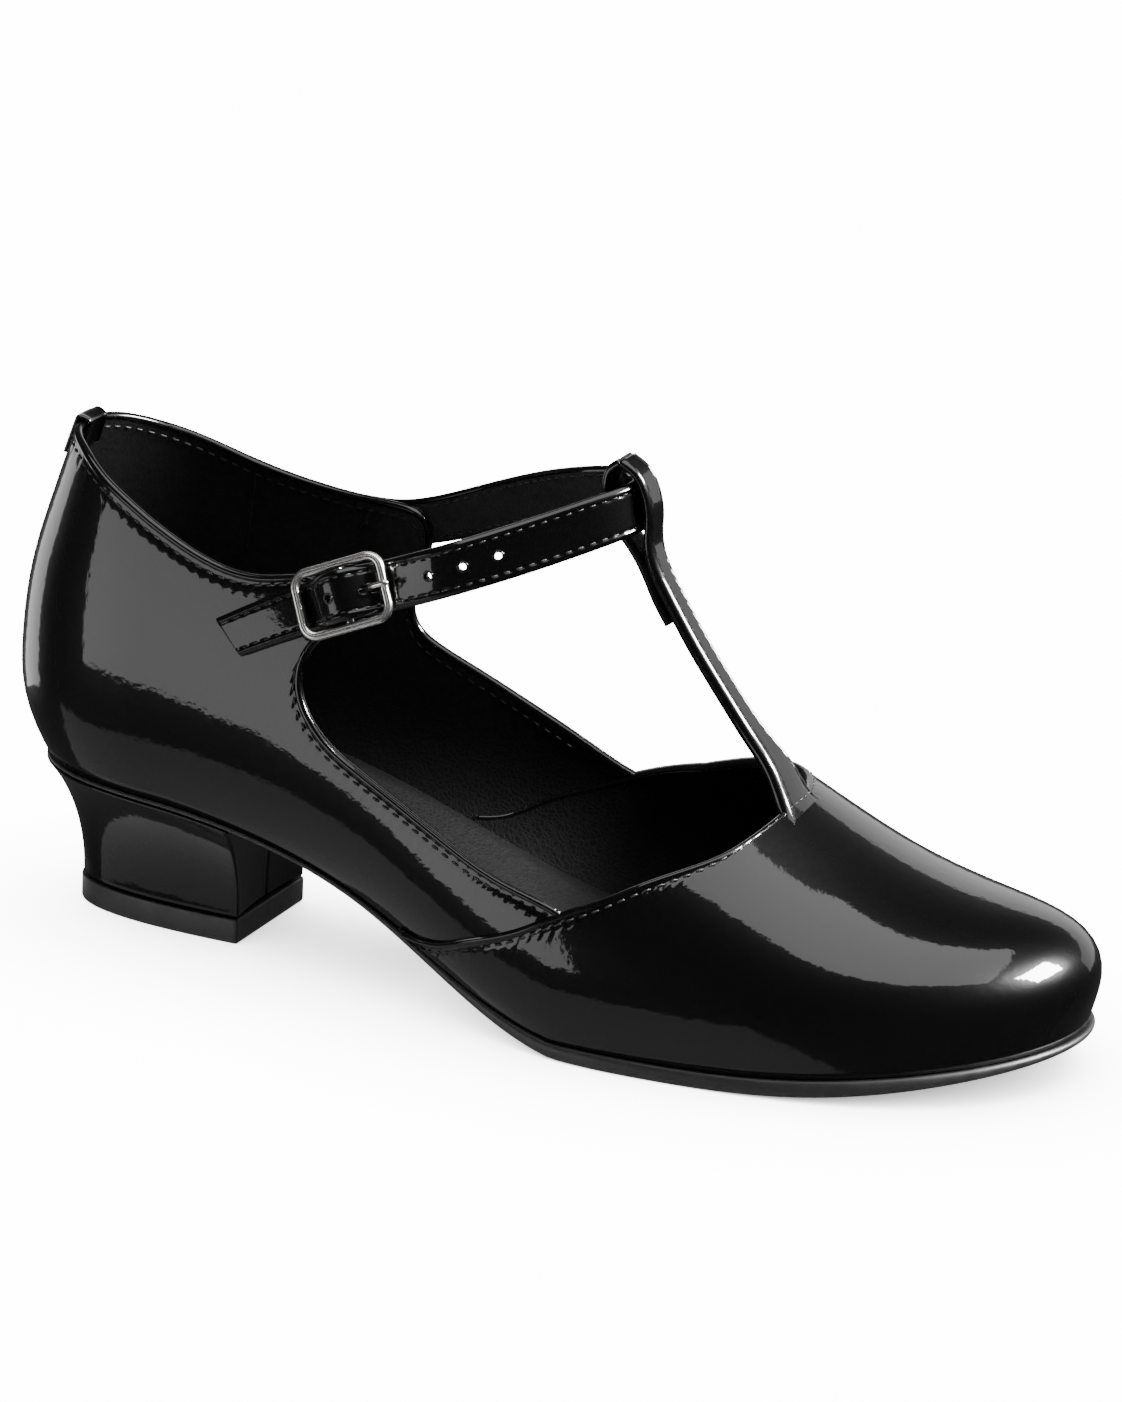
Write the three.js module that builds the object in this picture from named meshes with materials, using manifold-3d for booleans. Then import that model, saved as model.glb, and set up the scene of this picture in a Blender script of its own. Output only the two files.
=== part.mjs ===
// Right shoe of a pair of T-strap dance shoes in black patent, with a low block heel.
// Millimetres, +Z up, toe towards +X, outer (lateral) side towards -Y.
// The origin is the middle of the heel lift's ground face.
import * as THREE from "three";
import { mergeVertices } from "three/addons/utils/BufferGeometryUtils.js";
import Module from "manifold-3d";

const wasm = await Module();
wasm.setup();

// Last
const LAST_LENGTH = 246;
const BALL_BREADTH = 80;
const INSTEP_HEIGHT = 60;
const HEEL_RISE = 31.4;
const TOE_SPRING = 7;
const HEEL_SETBACK = 10.3;
const COUNTER_HEIGHT = 58;
const COLLAR_HEIGHT = 74;

// Upper
const QUARTER_WALL = 1.6;
const VAMP_LAP = 0.7;
const LINING_LAP = 0.5;

// Bottom
const SOLE_THICKNESS = 3.6;
const SOLE_EDGE = 3.5;
const INSOLE_THICKNESS = 3;
const INSOLE_CLEARANCE = 0.5;
const BREAST_STATION = 0.248;
const BREAST_HOLLOW = 1.2;
const LIFT_HEIGHT = 6;
const LIFT_BACK = 12.8;
const LIFT_LENGTH = 45.2;
const LIFT_WIDTH = 32;
const LIFT_LIP = 0.4;

// Straps
const STRAP_WIDTH = 11;
const STRAP_THICKNESS = 2;
const STRAP_BEVEL = 0.5;
const STRAP_TAIL_SLANT = 0.26;
const STRAP_TAIL_TAPER = 0.12;
const HOLE_DIAMETER = 1.8;
const HOLE_PITCH = 7.5;
const HOLES_FORWARD_OF_PRONG = 4;
const HOLES_BEHIND_PRONG = 1;
const T_STRAP_WIDTH = 7.6;
const T_STRAP_THICKNESS = 3;
const T_STRAP_SEAT_GAP = 0.45;

// Buckle
const BUCKLE_LENGTH = 21.6;
const BUCKLE_BAR = 2;
const BUCKLE_CORNER = 4;
const BUCKLE_SIDE_PLAY = 0.35;
const CENTRE_BAR = 1.8;
const PRONG_DIAMETER = 1.3;
const PRONG_REACH = 11.5;
const PRONG_HOLE = 5.6;
const PRONG_EYE_WIDTH = 1.6;
const PRONG_EYE_THICKNESS = 0.7;
const PRONG_EYE_PLAY = 0.2;
const KEEPER_THICKNESS = 0.7;
const KEEPER_WIDTH = 8;
const KEEPER_REACH = 5.6;

// Back tab
const TAB_WIDTH = 8;
const TAB_THICKNESS = 0.9;
const TAB_OUTSIDE = 8;
const TAB_INSIDE = 6;

// Clearance between pieces that touch
const GAP = 0.3;

// Plan of the last. Stations are shares of LAST_LENGTH from the back of the heel, breadth,
// centre and lean of BALL_BREADTH, rise of HEEL_RISE and spring of TOE_SPRING.
const LAST_PLAN = [
  { station: 0.0, breadth: 0.7, centre: 0.0, lean: 0.0, rise: 1.0, spring: 0.0 },
  { station: 0.12, breadth: 0.72, centre: 0.0, lean: 0.0, rise: 0.99, spring: 0.0 },
  { station: 0.25, breadth: 0.74, centre: -0.01, lean: 0.01, rise: 0.88, spring: 0.0 },
  { station: 0.38, breadth: 0.78, centre: -0.04, lean: 0.04, rise: 0.6, spring: 0.0 },
  { station: 0.5, breadth: 0.91, centre: -0.06, lean: 0.06, rise: 0.21, spring: 0.0 },
  { station: 0.6, breadth: 1.0, centre: -0.045, lean: 0.06, rise: -0.01, spring: 0.0 },
  { station: 0.7, breadth: 1.02, centre: -0.015, lean: 0.03, rise: -0.01, spring: 0.0 },
  { station: 0.8, breadth: 1.0, centre: 0.01, lean: 0.01, rise: 0.0, spring: 0.14 },
  { station: 0.9, breadth: 0.97, centre: 0.03, lean: 0.0, rise: 0.0, spring: 0.52 },
  { station: 1.0, breadth: 0.92, centre: 0.05, lean: 0.0, rise: 0.0, spring: 1.0 },
];
// Sections of the last. Crown is a share of INSTEP_HEIGHT, widest the height share where
// the section is widest, tuck the breadth share kept at the feather line, and ridge how
// full the crown is.
const LAST_SECTIONS = [
  { station: 0.0, crown: 1.95, widest: 0.22, tuck: 0.88, ridge: 1.3 },
  { station: 0.12, crown: 1.95, widest: 0.22, tuck: 0.87, ridge: 1.3 },
  { station: 0.25, crown: 1.85, widest: 0.22, tuck: 0.84, ridge: 1.4 },
  { station: 0.38, crown: 1.65, widest: 0.24, tuck: 0.81, ridge: 1.6 },
  { station: 0.5, crown: 1.33, widest: 0.26, tuck: 0.85, ridge: 2.0 },
  { station: 0.6, crown: 1.06, widest: 0.28, tuck: 0.92, ridge: 2.4 },
  { station: 0.7, crown: 0.83, widest: 0.28, tuck: 0.95, ridge: 2.8 },
  { station: 0.8, crown: 0.6, widest: 0.3, tuck: 0.96, ridge: 3.2 },
  { station: 0.9, crown: 0.485, widest: 0.33, tuck: 0.96, ridge: 3.4 },
  { station: 1.0, crown: 0.49, widest: 0.36, tuck: 0.97, ridge: 3.4 },
];

// Back curve of the heel: heights are shares of COUNTER_HEIGHT, setbacks of HEEL_SETBACK
const HEEL_CURVE = [
  { height: -0.3, setback: 1.75 },
  { height: 0.0, setback: 0.62 },
  { height: 0.2, setback: 0.05 },
  { height: 0.45, setback: -0.05 },
  { height: 0.75, setback: 0.18 },
  { height: 1.0, setback: 0.6 },
  { height: 1.35, setback: 1.27 },
  { height: 1.7, setback: 2.03 },
];

// Top edge of the quarters from the middle of the back to the end under the vamp.
// Along and foot are shares of LAST_LENGTH, foot being the feather station below the
// point, and height is a share of COLLAR_HEIGHT above the feather line.
const QUARTER_TOP = {
  lateral: [
    { along: 0.0, height: 1.0, foot: 0.0 },
    { along: 0.035, height: 0.997, foot: 0.03 },
    { along: 0.067, height: 0.978, foot: 0.055 },
    { along: 0.099, height: 0.934, foot: 0.08 },
    { along: 0.138, height: 0.88, foot: 0.105 },
    { along: 0.176, height: 0.827, foot: 0.126 },
    { along: 0.218, height: 0.786, foot: 0.145 },
    { along: 0.253, height: 0.779, foot: 0.155 },
    { along: 0.277, height: 0.795, foot: 0.162 },
    { along: 0.301, height: 0.826, foot: 0.17 },
    { along: 0.325, height: 0.848, foot: 0.178 },
    { along: 0.34, height: 0.836, foot: 0.185 },
    { along: 0.346, height: 0.8, foot: 0.192 },
    { along: 0.342, height: 0.75, foot: 0.201 },
    { along: 0.333, height: 0.702, foot: 0.213 },
    { along: 0.3235, height: 0.645, foot: 0.228 },
    { along: 0.32, height: 0.584, foot: 0.245 },
    { along: 0.324, height: 0.52, foot: 0.265 },
    { along: 0.336, height: 0.469, foot: 0.285 },
    { along: 0.354, height: 0.434, foot: 0.303 },
    { along: 0.387, height: 0.415, foot: 0.34 },
    { along: 0.463, height: 0.409, foot: 0.4 },
    { along: 0.537, height: 0.4, foot: 0.455 },
    { along: 0.589, height: 0.392, foot: 0.49 },
    { along: 0.612, height: 0.37, foot: 0.5 },
  ],
  medial: [
    { along: 0.0, height: 1.0, foot: 0.0 },
    { along: 0.035, height: 0.985, foot: 0.03 },
    { along: 0.07, height: 0.95, foot: 0.06 },
    { along: 0.098, height: 0.918, foot: 0.078 },
    { along: 0.145, height: 0.868, foot: 0.11 },
    { along: 0.205, height: 0.842, foot: 0.145 },
    { along: 0.267, height: 0.856, foot: 0.17 },
    { along: 0.31, height: 0.886, foot: 0.182 },
    { along: 0.328, height: 0.886, foot: 0.19 },
    { along: 0.335, height: 0.865, foot: 0.196 },
    { along: 0.335, height: 0.81, foot: 0.204 },
    { along: 0.329, height: 0.74, foot: 0.215 },
    { along: 0.321, height: 0.67, foot: 0.228 },
    { along: 0.314, height: 0.6, foot: 0.243 },
    { along: 0.313, height: 0.545, foot: 0.256 },
    { along: 0.32, height: 0.502, foot: 0.27 },
    { along: 0.34, height: 0.475, foot: 0.29 },
    { along: 0.375, height: 0.463, foot: 0.322 },
    { along: 0.427, height: 0.45, foot: 0.365 },
    { along: 0.48, height: 0.43, foot: 0.405 },
    { along: 0.522, height: 0.404, foot: 0.435 },
    { along: 0.56, height: 0.38, foot: 0.455 },
    { along: 0.575, height: 0.36, foot: 0.46 },
  ],
};

// Back edge of the vamp from the tip of its wing at the feather line to the peak of
// the throat. Along is a share of LAST_LENGTH, angle is in degrees round the last's axis.
const VAMP_EDGE = {
  lateral: [
    { along: 0.432, angle: -15.5 },
    { along: 0.449, angle: -11.5 },
    { along: 0.472, angle: -5.6 },
    { along: 0.511, angle: 6.2 },
    { along: 0.56, angle: 18.1 },
    { along: 0.589, angle: 25.0 },
    { along: 0.627, angle: 31.2 },
    { along: 0.658, angle: 37.4 },
    { along: 0.688, angle: 44.0 },
    { along: 0.712, angle: 52.1 },
    { along: 0.725, angle: 62.8 },
    { along: 0.731, angle: 75.0 },
    { along: 0.733, angle: 90.0 },
  ],
  medial: [
    { along: 0.39, angle: -13.5 },
    { along: 0.41, angle: -8.0 },
    { along: 0.453, angle: 9.0 },
    { along: 0.49, angle: 19.5 },
    { along: 0.522, angle: 27.0 },
    { along: 0.55, angle: 32.0 },
    { along: 0.58, angle: 36.0 },
    { along: 0.615, angle: 40.0 },
    { along: 0.648, angle: 45.0 },
    { along: 0.68, angle: 51.5 },
    { along: 0.71, angle: 61.0 },
    { along: 0.727, angle: 74.0 },
    { along: 0.733, angle: 90.0 },
  ],
};

// Outsole: thickness is a share of SOLE_THICKNESS, edge of SOLE_EDGE beyond the last
const SOLE_SECTIONS = [
  { station: 0.0, thickness: 0.33, edge: 0.56 },
  { station: 0.25, thickness: 0.33, edge: 0.56 },
  { station: 0.4, thickness: 0.45, edge: 0.6 },
  { station: 0.5, thickness: 0.7, edge: 0.75 },
  { station: 0.6, thickness: 0.95, edge: 0.95 },
  { station: 0.7, thickness: 1.0, edge: 1.0 },
  { station: 0.85, thickness: 1.0, edge: 1.0 },
  { station: 1.0, thickness: 0.5, edge: 0.95 },
];

// Ankle strap, from its tail over the buckle and the instep to its end on the inner quarter.
// On the last: along is a share of LAST_LENGTH and height of COLLAR_HEIGHT above the feather
// line. Free of it: forward is a share of LAST_LENGTH, across of BALL_BREADTH, level of
// COLLAR_HEIGHT above the heel seat, and turn is where its outer face looks, in degrees
// from straight ahead.
const STRAP_TAIL = { along: 0.2525, height: 0.594 };
const STRAP_LEAVES = { along: 0.385, height: 0.915 };
const BUCKLE_PLACE = 0.772;
const STRAP_FREE = [
  { forward: 0.4309, across: -0.331, level: 0.8135, turn: -68 },
  { forward: 0.4866, across: -0.269, level: 0.8865, turn: -62 },
  { forward: 0.531, across: -0.181, level: 0.946, turn: -50 },
  { forward: 0.5665, across: -0.081, level: 0.9946, turn: -25 },
  { forward: 0.576, across: 0.006, level: 1.0108, turn: 3 },
  { forward: 0.557, across: 0.0845, level: 1.012, turn: 45 },
  { forward: 0.5122, across: 0.131, level: 0.983, turn: 62 },
  { forward: 0.4593, across: 0.2125, level: 0.919, turn: 68 },
  { forward: 0.3984, across: 0.285, level: 0.832, turn: 76 },
];
const STRAP_APEX_ROW = 4;
const STRAP_LEAN = 12;
const STRAP_END = [
  { along: 0.33, height: 0.85 },
  { along: 0.3, height: 0.8 },
  { along: 0.262, height: 0.765 },
];

// T-strap from the vamp to its loop: run and rise are shares of the way from the peak of
// the throat to the middle of the ankle strap, width of T_STRAP_WIDTH, thickness of
// T_STRAP_THICKNESS, and bow the drop of its edges as a share of its thickness
const T_STRAP_RISE = [
  { run: 0.085, rise: 0.13, width: 1.65, thickness: 0.9, bow: 0.1 },
  { run: 0.236, rise: 0.236, width: 1.13, thickness: 1.0, bow: 0.0 },
  { run: 0.433, rise: 0.387, width: 1.02, thickness: 1.0, bow: 0.0 },
  { run: 0.609, rise: 0.533, width: 1.0, thickness: 1.0, bow: 0.0 },
  { run: 0.768, rise: 0.682, width: 1.0, thickness: 1.0, bow: 0.0 },
  { run: 0.891, rise: 0.826, width: 1.0, thickness: 0.9, bow: 0.0 },
];
// On the vamp: along is a share of LAST_LENGTH
const T_STRAP_BASE = [
  { along: 0.769, width: 2.2, thickness: 0.35, bow: 0.2 },
  { along: 0.757, width: 2.15, thickness: 0.45, bow: 0.2 },
  { along: 0.744, width: 1.95, thickness: 0.65, bow: 0.17 },
];
// Round the ankle strap: forward and up are shares of STRAP_WIDTH from its middle
const T_STRAP_LOOP = [
  { forward: 0.318, up: -0.536, width: 1.0, thickness: 0.6 },
  { forward: 0.318, up: -0.21, width: 1.0, thickness: 0.6 },
  { forward: 0.209, up: 0.291, width: 1.0, thickness: 0.6 },
  { forward: -0.017, up: 0.655, width: 1.0, thickness: 0.6 },
  { forward: -0.309, up: 0.827, width: 1.0, thickness: 0.6 },
  { forward: -0.517, up: 0.655, width: 1.0, thickness: 0.6 },
  { forward: -0.582, up: 0.236, width: 1.0, thickness: 0.6 },
  { forward: -0.5, up: -0.3, width: 1.0, thickness: 0.6 },
  { forward: -0.254, up: -0.673, width: 1.0, thickness: 0.65 },
];
const T_STRAP_LOOP_TOP_ROW = 4;
// Sewn down behind: share is the place along the rise, from the throat to the loop
const T_STRAP_FOLD = [
  { share: 0.95, thickness: 0.67 },
  { share: 0.84, thickness: 0.67 },
  { share: 0.73, thickness: 0.6 },
];

// Prong from its eye on the centre bar: along is a share of PRONG_REACH, out the share of
// the way from the middle of the centre bar to where it rests on the front bar
const PRONG_PATH = [
  { along: 0.13, out: 0.03, girth: 0.9 },
  { along: 0.3, out: -0.015, girth: 1.0 },
  { along: 0.41, out: 0.04, girth: 1.0 },
  { along: 0.59, out: 0.6, girth: 1.0 },
  { along: 0.69, out: 0.88, girth: 1.0 },
  { along: 0.8, out: 0.99, girth: 1.0 },
  { along: 0.96, out: 1.0, girth: 0.95 },
  { along: 1.0, out: 1.0, girth: 0.6 },
];

// Natural cubic spline through a short table, straight beyond its ends
function spline(xs, ys) {
  const end = xs.length - 1;
  const step = xs.slice(1).map((x, i) => x - xs[i]);
  const slope = step.map((h, i) => (ys[i + 1] - ys[i]) / h);
  const diagonal = [1];
  const right = [0];
  for (let i = 1; i < end; i++) {
    const factor = i > 1 ? step[i - 1] / diagonal[i - 1] : 0;
    diagonal[i] = 2 * (step[i - 1] + step[i]) - factor * step[i - 1];
    right[i] = 6 * (slope[i] - slope[i - 1]) - factor * right[i - 1];
  }
  const bend = new Array(end + 1).fill(0);
  for (let i = end - 1; i > 0; i--) bend[i] = (right[i] - step[i] * bend[i + 1]) / diagonal[i];
  const startSlope = slope[0] - (step[0] * bend[1]) / 6;
  const endSlope = slope[end - 1] + (step[end - 1] * bend[end - 1]) / 6;
  return (x) => {
    if (x <= xs[0]) return ys[0] + (x - xs[0]) * startSlope;
    if (x >= xs[end]) return ys[end] + (x - xs[end]) * endSlope;
    let k = 0;
    while (x > xs[k + 1]) k++;
    const h = step[k];
    const a = xs[k + 1] - x;
    const b = x - xs[k];
    const curve = (bend[k] * a ** 3 + bend[k + 1] * b ** 3) / (6 * h);
    return curve + (ys[k] / h - (bend[k] * h) / 6) * a + (ys[k + 1] / h - (bend[k + 1] * h) / 6) * b;
  };
}

// Splines of every named column of a table against its first column
function columns(rows, key) {
  const xs = rows.map((row) => row[key]);
  const names = Object.keys(rows[0]).filter((name) => name !== key);
  return Object.fromEntries(names.map((name) => [name, spline(xs, rows.map((row) => row[name]))]));
}

// Curve through the rows of a table, run by its length where scale gives each column's size
function route(rows, scale) {
  const names = Object.keys(rows[0]);
  const at = [0];
  for (let i = 1; i < rows.length; i++) {
    const moves = names.map((name) => (scale[name] ?? 0) * (rows[i][name] - rows[i - 1][name]));
    at.push(at[i - 1] + Math.hypot(...moves));
  }
  const total = at[at.length - 1];
  const curves = names.map((name) => [name, spline(at, rows.map((row) => row[name]))]);
  const value = (share) => Object.fromEntries(curves.map(([name, curve]) => [name, curve(share * total)]));
  return { value, total, stops: at.map((d) => d / total) };
}

// Last surface
const last = { ...columns(LAST_PLAN, "station"), ...columns(LAST_SECTIONS, "station") };
const heelCurve = columns(HEEL_CURVE, "height");
const sole = columns(SOLE_SECTIONS, "station");
const HEEL_FAN = 0.1615 * LAST_LENGTH;
const TOE_FAN = 0.86 * LAST_LENGTH;
const HEEL_ROUND_START = 0.17;
const TOE_ROUND_START = 0.7;
const HEEL_ROUNDNESS = 2.3;
const TOE_ROUNDNESS = 2.7;
const AXIS_RISE = 10;
const AXIS_LEAN = 0.3;
const RADIAN = Math.PI / 180;
const PROBE = 0.05;

// Height of the feather line, which is the top of the outsole
function seat(x) {
  const station = x / LAST_LENGTH;
  const rise = Math.max(0, last.rise(station));
  const spring = Math.max(0, last.spring(station));
  return SOLE_THICKNESS + HEEL_RISE * rise + TOE_SPRING * spring;
}

// Squared half breadth share at a height share: 1 at the widest height, 0 at the crown
function sectionShape(height, widest, tuck, ridge) {
  const room = 1 - widest;
  const tangent = (h) => 1 / room + (h - widest) / room ** 2;
  const low = (tuck ** 2 - tangent(0)) / widest ** 2;
  const high = (ridge - tangent(1)) / room ** 2;
  return (1 - height) * (tangent(height) + (height - widest) ** 2 * (low + (high - low) * height));
}

// Field of the last: below 0 inside, above 0 outside
function field(x, y, z) {
  const station = x / LAST_LENGTH;
  const lift = z - seat(x);
  const height = lift / (INSTEP_HEIGHT * last.crown(station));
  const middle = BALL_BREADTH * (last.centre(station) + last.lean(station) * height);
  const across = (y - middle) / ((BALL_BREADTH * last.breadth(station)) / 2);
  const shape = sectionShape(height, last.widest(station), last.tuck(station), last.ridge(station));
  const back = (HEEL_SETBACK * heelCurve.setback(lift / COUNTER_HEIGHT)) / LAST_LENGTH;
  const heel = Math.max(0, (HEEL_ROUND_START - station) / (HEEL_ROUND_START - back)) ** HEEL_ROUNDNESS;
  const toe = Math.max(0, (station - TOE_ROUND_START) / (1 - TOE_ROUND_START)) ** TOE_ROUNDNESS;
  return across ** 2 - shape * (1 - heel) + toe;
}

// Outward normal of the last
function normalAt(p) {
  const e = PROBE;
  return new THREE.Vector3(
    field(p.x + e, p.y, p.z) - field(p.x - e, p.y, p.z),
    field(p.x, p.y + e, p.z) - field(p.x, p.y - e, p.z),
    field(p.x, p.y, p.z + e) - field(p.x, p.y, p.z - e),
  ).normalize();
}

// Point of the last seen from its axis: along in millimetres, angle in degrees, side -1 lateral
function castPoint(along, angle, side) {
  const x0 = THREE.MathUtils.clamp(along, HEEL_FAN, TOE_FAN);
  let turn = 90;
  if (along < HEEL_FAN) turn = 180 - (90 * along) / HEEL_FAN;
  if (along > TOE_FAN) turn = 90 - (90 * (along - TOE_FAN)) / (LAST_LENGTH - TOE_FAN);
  const station = x0 / LAST_LENGTH;
  const y0 = BALL_BREADTH * (last.centre(station) + AXIS_LEAN * last.lean(station));
  const z0 = seat(x0) + AXIS_RISE;
  const level = Math.cos(angle * RADIAN);
  const direction = new THREE.Vector3(
    Math.cos(turn * RADIAN) * level,
    side * Math.sin(turn * RADIAN) * level,
    Math.sin(angle * RADIAN),
  );
  const outside = (t) => field(x0 + direction.x * t, y0 + direction.y * t, z0 + direction.z * t) > 0;
  const reach = 2.5;
  let far = reach;
  while (!outside(far) && far < LAST_LENGTH) far += reach;
  let near = far - reach;
  for (let i = 0; i < 24; i++) {
    const middle = (near + far) / 2;
    if (outside(middle)) far = middle;
    else near = middle;
  }
  return new THREE.Vector3(x0, y0, z0).addScaledVector(direction, far);
}

// Angle round the axis at which the last stands this high above the feather line
function angleAtHeight(along, height, side) {
  let low = -60;
  let high = 89;
  for (let i = 0; i < 20; i++) {
    const middle = (low + high) / 2;
    const p = castPoint(along, middle, side);
    if (p.z - seat(p.x) > height) high = middle;
    else low = middle;
  }
  return (low + high) / 2;
}

// Point off the last by a distance; on the feather line it moves level and keeps its height
function offLast(p, distance, onFeather = false) {
  const normal = normalAt(p);
  const moved = p.clone().addScaledVector(normal, distance);
  if (!onFeather) return moved;
  const level = Math.hypot(normal.x, normal.y);
  moved.x = p.x + (normal.x / level) * distance;
  moved.y = p.y + (normal.y / level) * distance;
  moved.z = seat(moved.x) + GAP;
  return moved;
}

const onLast = (along, height, side) => castPoint(along, angleAtHeight(along, height, side), side);

// Closed geometry from loose triangles, welded and turned outwards
function closedGeometry(triangles) {
  const loose = new THREE.BufferGeometry();
  const flat = triangles.flatMap((corners) => corners.flatMap((p) => [p.x, p.y, p.z]));
  loose.setAttribute("position", new THREE.Float32BufferAttribute(flat, 3));
  const welded = mergeVertices(loose, 1e-3);
  const index = welded.index.array;
  const kept = [];
  for (let i = 0; i < index.length; i += 3) {
    const [a, b, c] = [index[i], index[i + 1], index[i + 2]];
    if (a !== b && b !== c && c !== a) kept.push(a, b, c);
  }
  const position = welded.attributes.position;
  const [a, b, c] = [new THREE.Vector3(), new THREE.Vector3(), new THREE.Vector3()];
  let volume = 0;
  for (let i = 0; i < kept.length; i += 3) {
    a.fromBufferAttribute(position, kept[i]);
    b.fromBufferAttribute(position, kept[i + 1]);
    c.fromBufferAttribute(position, kept[i + 2]);
    volume += a.dot(b.cross(c));
  }
  welded.setIndex(volume < 0 ? kept.reverse() : kept);
  return welded;
}

function toSolid(geometry) {
  const bare = geometry.clone();
  bare.deleteAttribute("normal");
  bare.deleteAttribute("uv");
  const welded = mergeVertices(bare, 1e-4);
  const mesh = new wasm.Mesh({
    numProp: 3,
    vertProperties: new Float32Array(welded.attributes.position.array),
    triVerts: new Uint32Array(welded.index.array),
  });
  return new wasm.Manifold(mesh);
}

function toGeometry(solid) {
  const mesh = solid.getMesh();
  const geometry = new THREE.BufferGeometry();
  geometry.setAttribute("position", new THREE.BufferAttribute(mesh.vertProperties, 3));
  geometry.setIndex(new THREE.BufferAttribute(mesh.triVerts, 1));
  return geometry;
}

const quad = (a, b, c, d) => [[a, b, c], [a, c, d]];

// Solid through closed sections of equal point count: a ring, or capped at both ends
function loft(sections, isRing = false) {
  const triangles = [];
  const count = sections[0].length;
  for (let i = isRing ? 0 : 1; i < sections.length; i++) {
    const before = sections[(i + sections.length - 1) % sections.length];
    for (let k = 0; k < count; k++) {
      const next = (k + 1) % count;
      triangles.push(...quad(before[k], before[next], sections[i][next], sections[i][k]));
    }
  }
  if (isRing) return closedGeometry(triangles);
  const cap = (section, flip) => {
    const u = section[1].clone().sub(section[0]).normalize();
    const middle = section.reduce((sum, p) => sum.add(p), new THREE.Vector3()).divideScalar(count);
    const normal = new THREE.Vector3();
    section.forEach((p, k) => {
      const a = p.clone().sub(middle);
      const b = section[(k + 1) % count].clone().sub(middle);
      normal.add(a.cross(b));
    });
    const v = normal.normalize().clone().cross(u).normalize();
    const outline = section.map((p) => new THREE.Vector2(p.dot(u), p.dot(v)));
    for (const [a, b, c] of THREE.ShapeUtils.triangulateShape(outline, [])) {
      const corners = [section[a], section[b], section[c]];
      triangles.push(flip ? corners.reverse() : corners);
    }
  };
  cap(sections[0], true);
  cap(sections[sections.length - 1], false);
  return closedGeometry(triangles);
}

// Shell between an inner and an outer sheet of columns; open tops get a wall unless joined
function shell(inner, outer, topIsOpen) {
  const triangles = [];
  const rows = inner[0].length - 1;
  for (let i = 1; i < inner.length; i++) {
    for (let j = 1; j <= rows; j++) {
      triangles.push(...quad(outer[i - 1][j - 1], outer[i][j - 1], outer[i][j], outer[i - 1][j]));
      triangles.push(...quad(inner[i - 1][j], inner[i][j], inner[i][j - 1], inner[i - 1][j - 1]));
    }
    triangles.push(...quad(inner[i - 1][0], inner[i][0], outer[i][0], outer[i - 1][0]));
    const top = [outer[i - 1][rows], outer[i][rows], inner[i][rows], inner[i - 1][rows]];
    if (topIsOpen(i)) triangles.push(...quad(...top));
  }
  const end = inner.length - 1;
  for (let j = 1; j <= rows; j++) {
    triangles.push(...quad(inner[0][j - 1], outer[0][j - 1], outer[0][j], inner[0][j]));
    triangles.push(...quad(outer[end][j - 1], inner[end][j - 1], inner[end][j], outer[end][j]));
  }
  return closedGeometry(triangles);
}

const SIDES = { lateral: -1, medial: 1 };
const shares = (count) => Array.from({ length: count + 1 }, (_, i) => i / count);

// Quarters: one wall round the back of the heel, from under one wing of the vamp to the other
const QUARTER_COLUMNS = 40;
const QUARTER_ROWS = 7;

function quarterColumns(name, distance) {
  const side = SIDES[name];
  const top = route(QUARTER_TOP[name], { along: LAST_LENGTH, height: COLLAR_HEIGHT });
  return shares(QUARTER_COLUMNS).map((share) => {
    const { along, height, foot } = top.value(share);
    return shares(QUARTER_ROWS).map((row) => {
      const station = (foot + (along - foot) * row) * LAST_LENGTH;
      const p = onLast(Math.max(0, station), Math.max(GAP, height * COLLAR_HEIGHT * row), side);
      return offLast(p, distance, row === 0);
    });
  });
}

function quarterSheet(distance) {
  const lateral = quarterColumns("lateral", distance);
  return [...lateral.reverse(), ...quarterColumns("medial", distance).slice(1)];
}

const quarterShell = () => shell(quarterSheet(0), quarterSheet(QUARTER_WALL), () => true);

// Vamp: wings and throat on both sides, closed over the toe along the ridge
const THROAT_COLUMNS = 24;
const FOREPART_COLUMNS = 5;
const TOE_COLUMNS = 10;
const VAMP_ROWS = 11;
const MILLIMETRES_PER_DEGREE = 0.6;

function vampColumn(foot, along, angle, side, distance) {
  const low = angleAtHeight(foot, GAP, side);
  return shares(VAMP_ROWS).map((row) => {
    const p = castPoint(foot + (along - foot) * row, low + (angle - low) * row, side);
    return offLast(p, distance, row === 0);
  });
}

function vampColumns(name, distance) {
  const side = SIDES[name];
  const edge = route(VAMP_EDGE[name], { along: LAST_LENGTH, angle: MILLIMETRES_PER_DEGREE });
  const tip = VAMP_EDGE[name][0].along * LAST_LENGTH;
  const peak = VAMP_EDGE[name][VAMP_EDGE[name].length - 1].along * LAST_LENGTH;
  const throat = shares(THROAT_COLUMNS).map((share) => {
    const { along, angle } = edge.value(share);
    const foot = tip + (peak - tip) * share;
    if (share === 0) return vampColumn(foot, foot, angleAtHeight(foot, GAP, side), side, distance);
    return vampColumn(foot, along * LAST_LENGTH, angle, side, distance);
  });
  const forepart = shares(FOREPART_COLUMNS).map((share) => peak + (TOE_FAN - peak) * share);
  const toe = shares(TOE_COLUMNS).map((share) => TOE_FAN + (LAST_LENGTH - TOE_FAN) * share);
  const front = [...forepart.slice(1), ...toe.slice(1)];
  return [...throat, ...front.map((station) => vampColumn(station, station, 90, side, distance))];
}

function vampSheet(distance) {
  const medial = vampColumns("medial", distance).reverse();
  return [...vampColumns("lateral", distance), ...medial.slice(1)];
}

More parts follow.
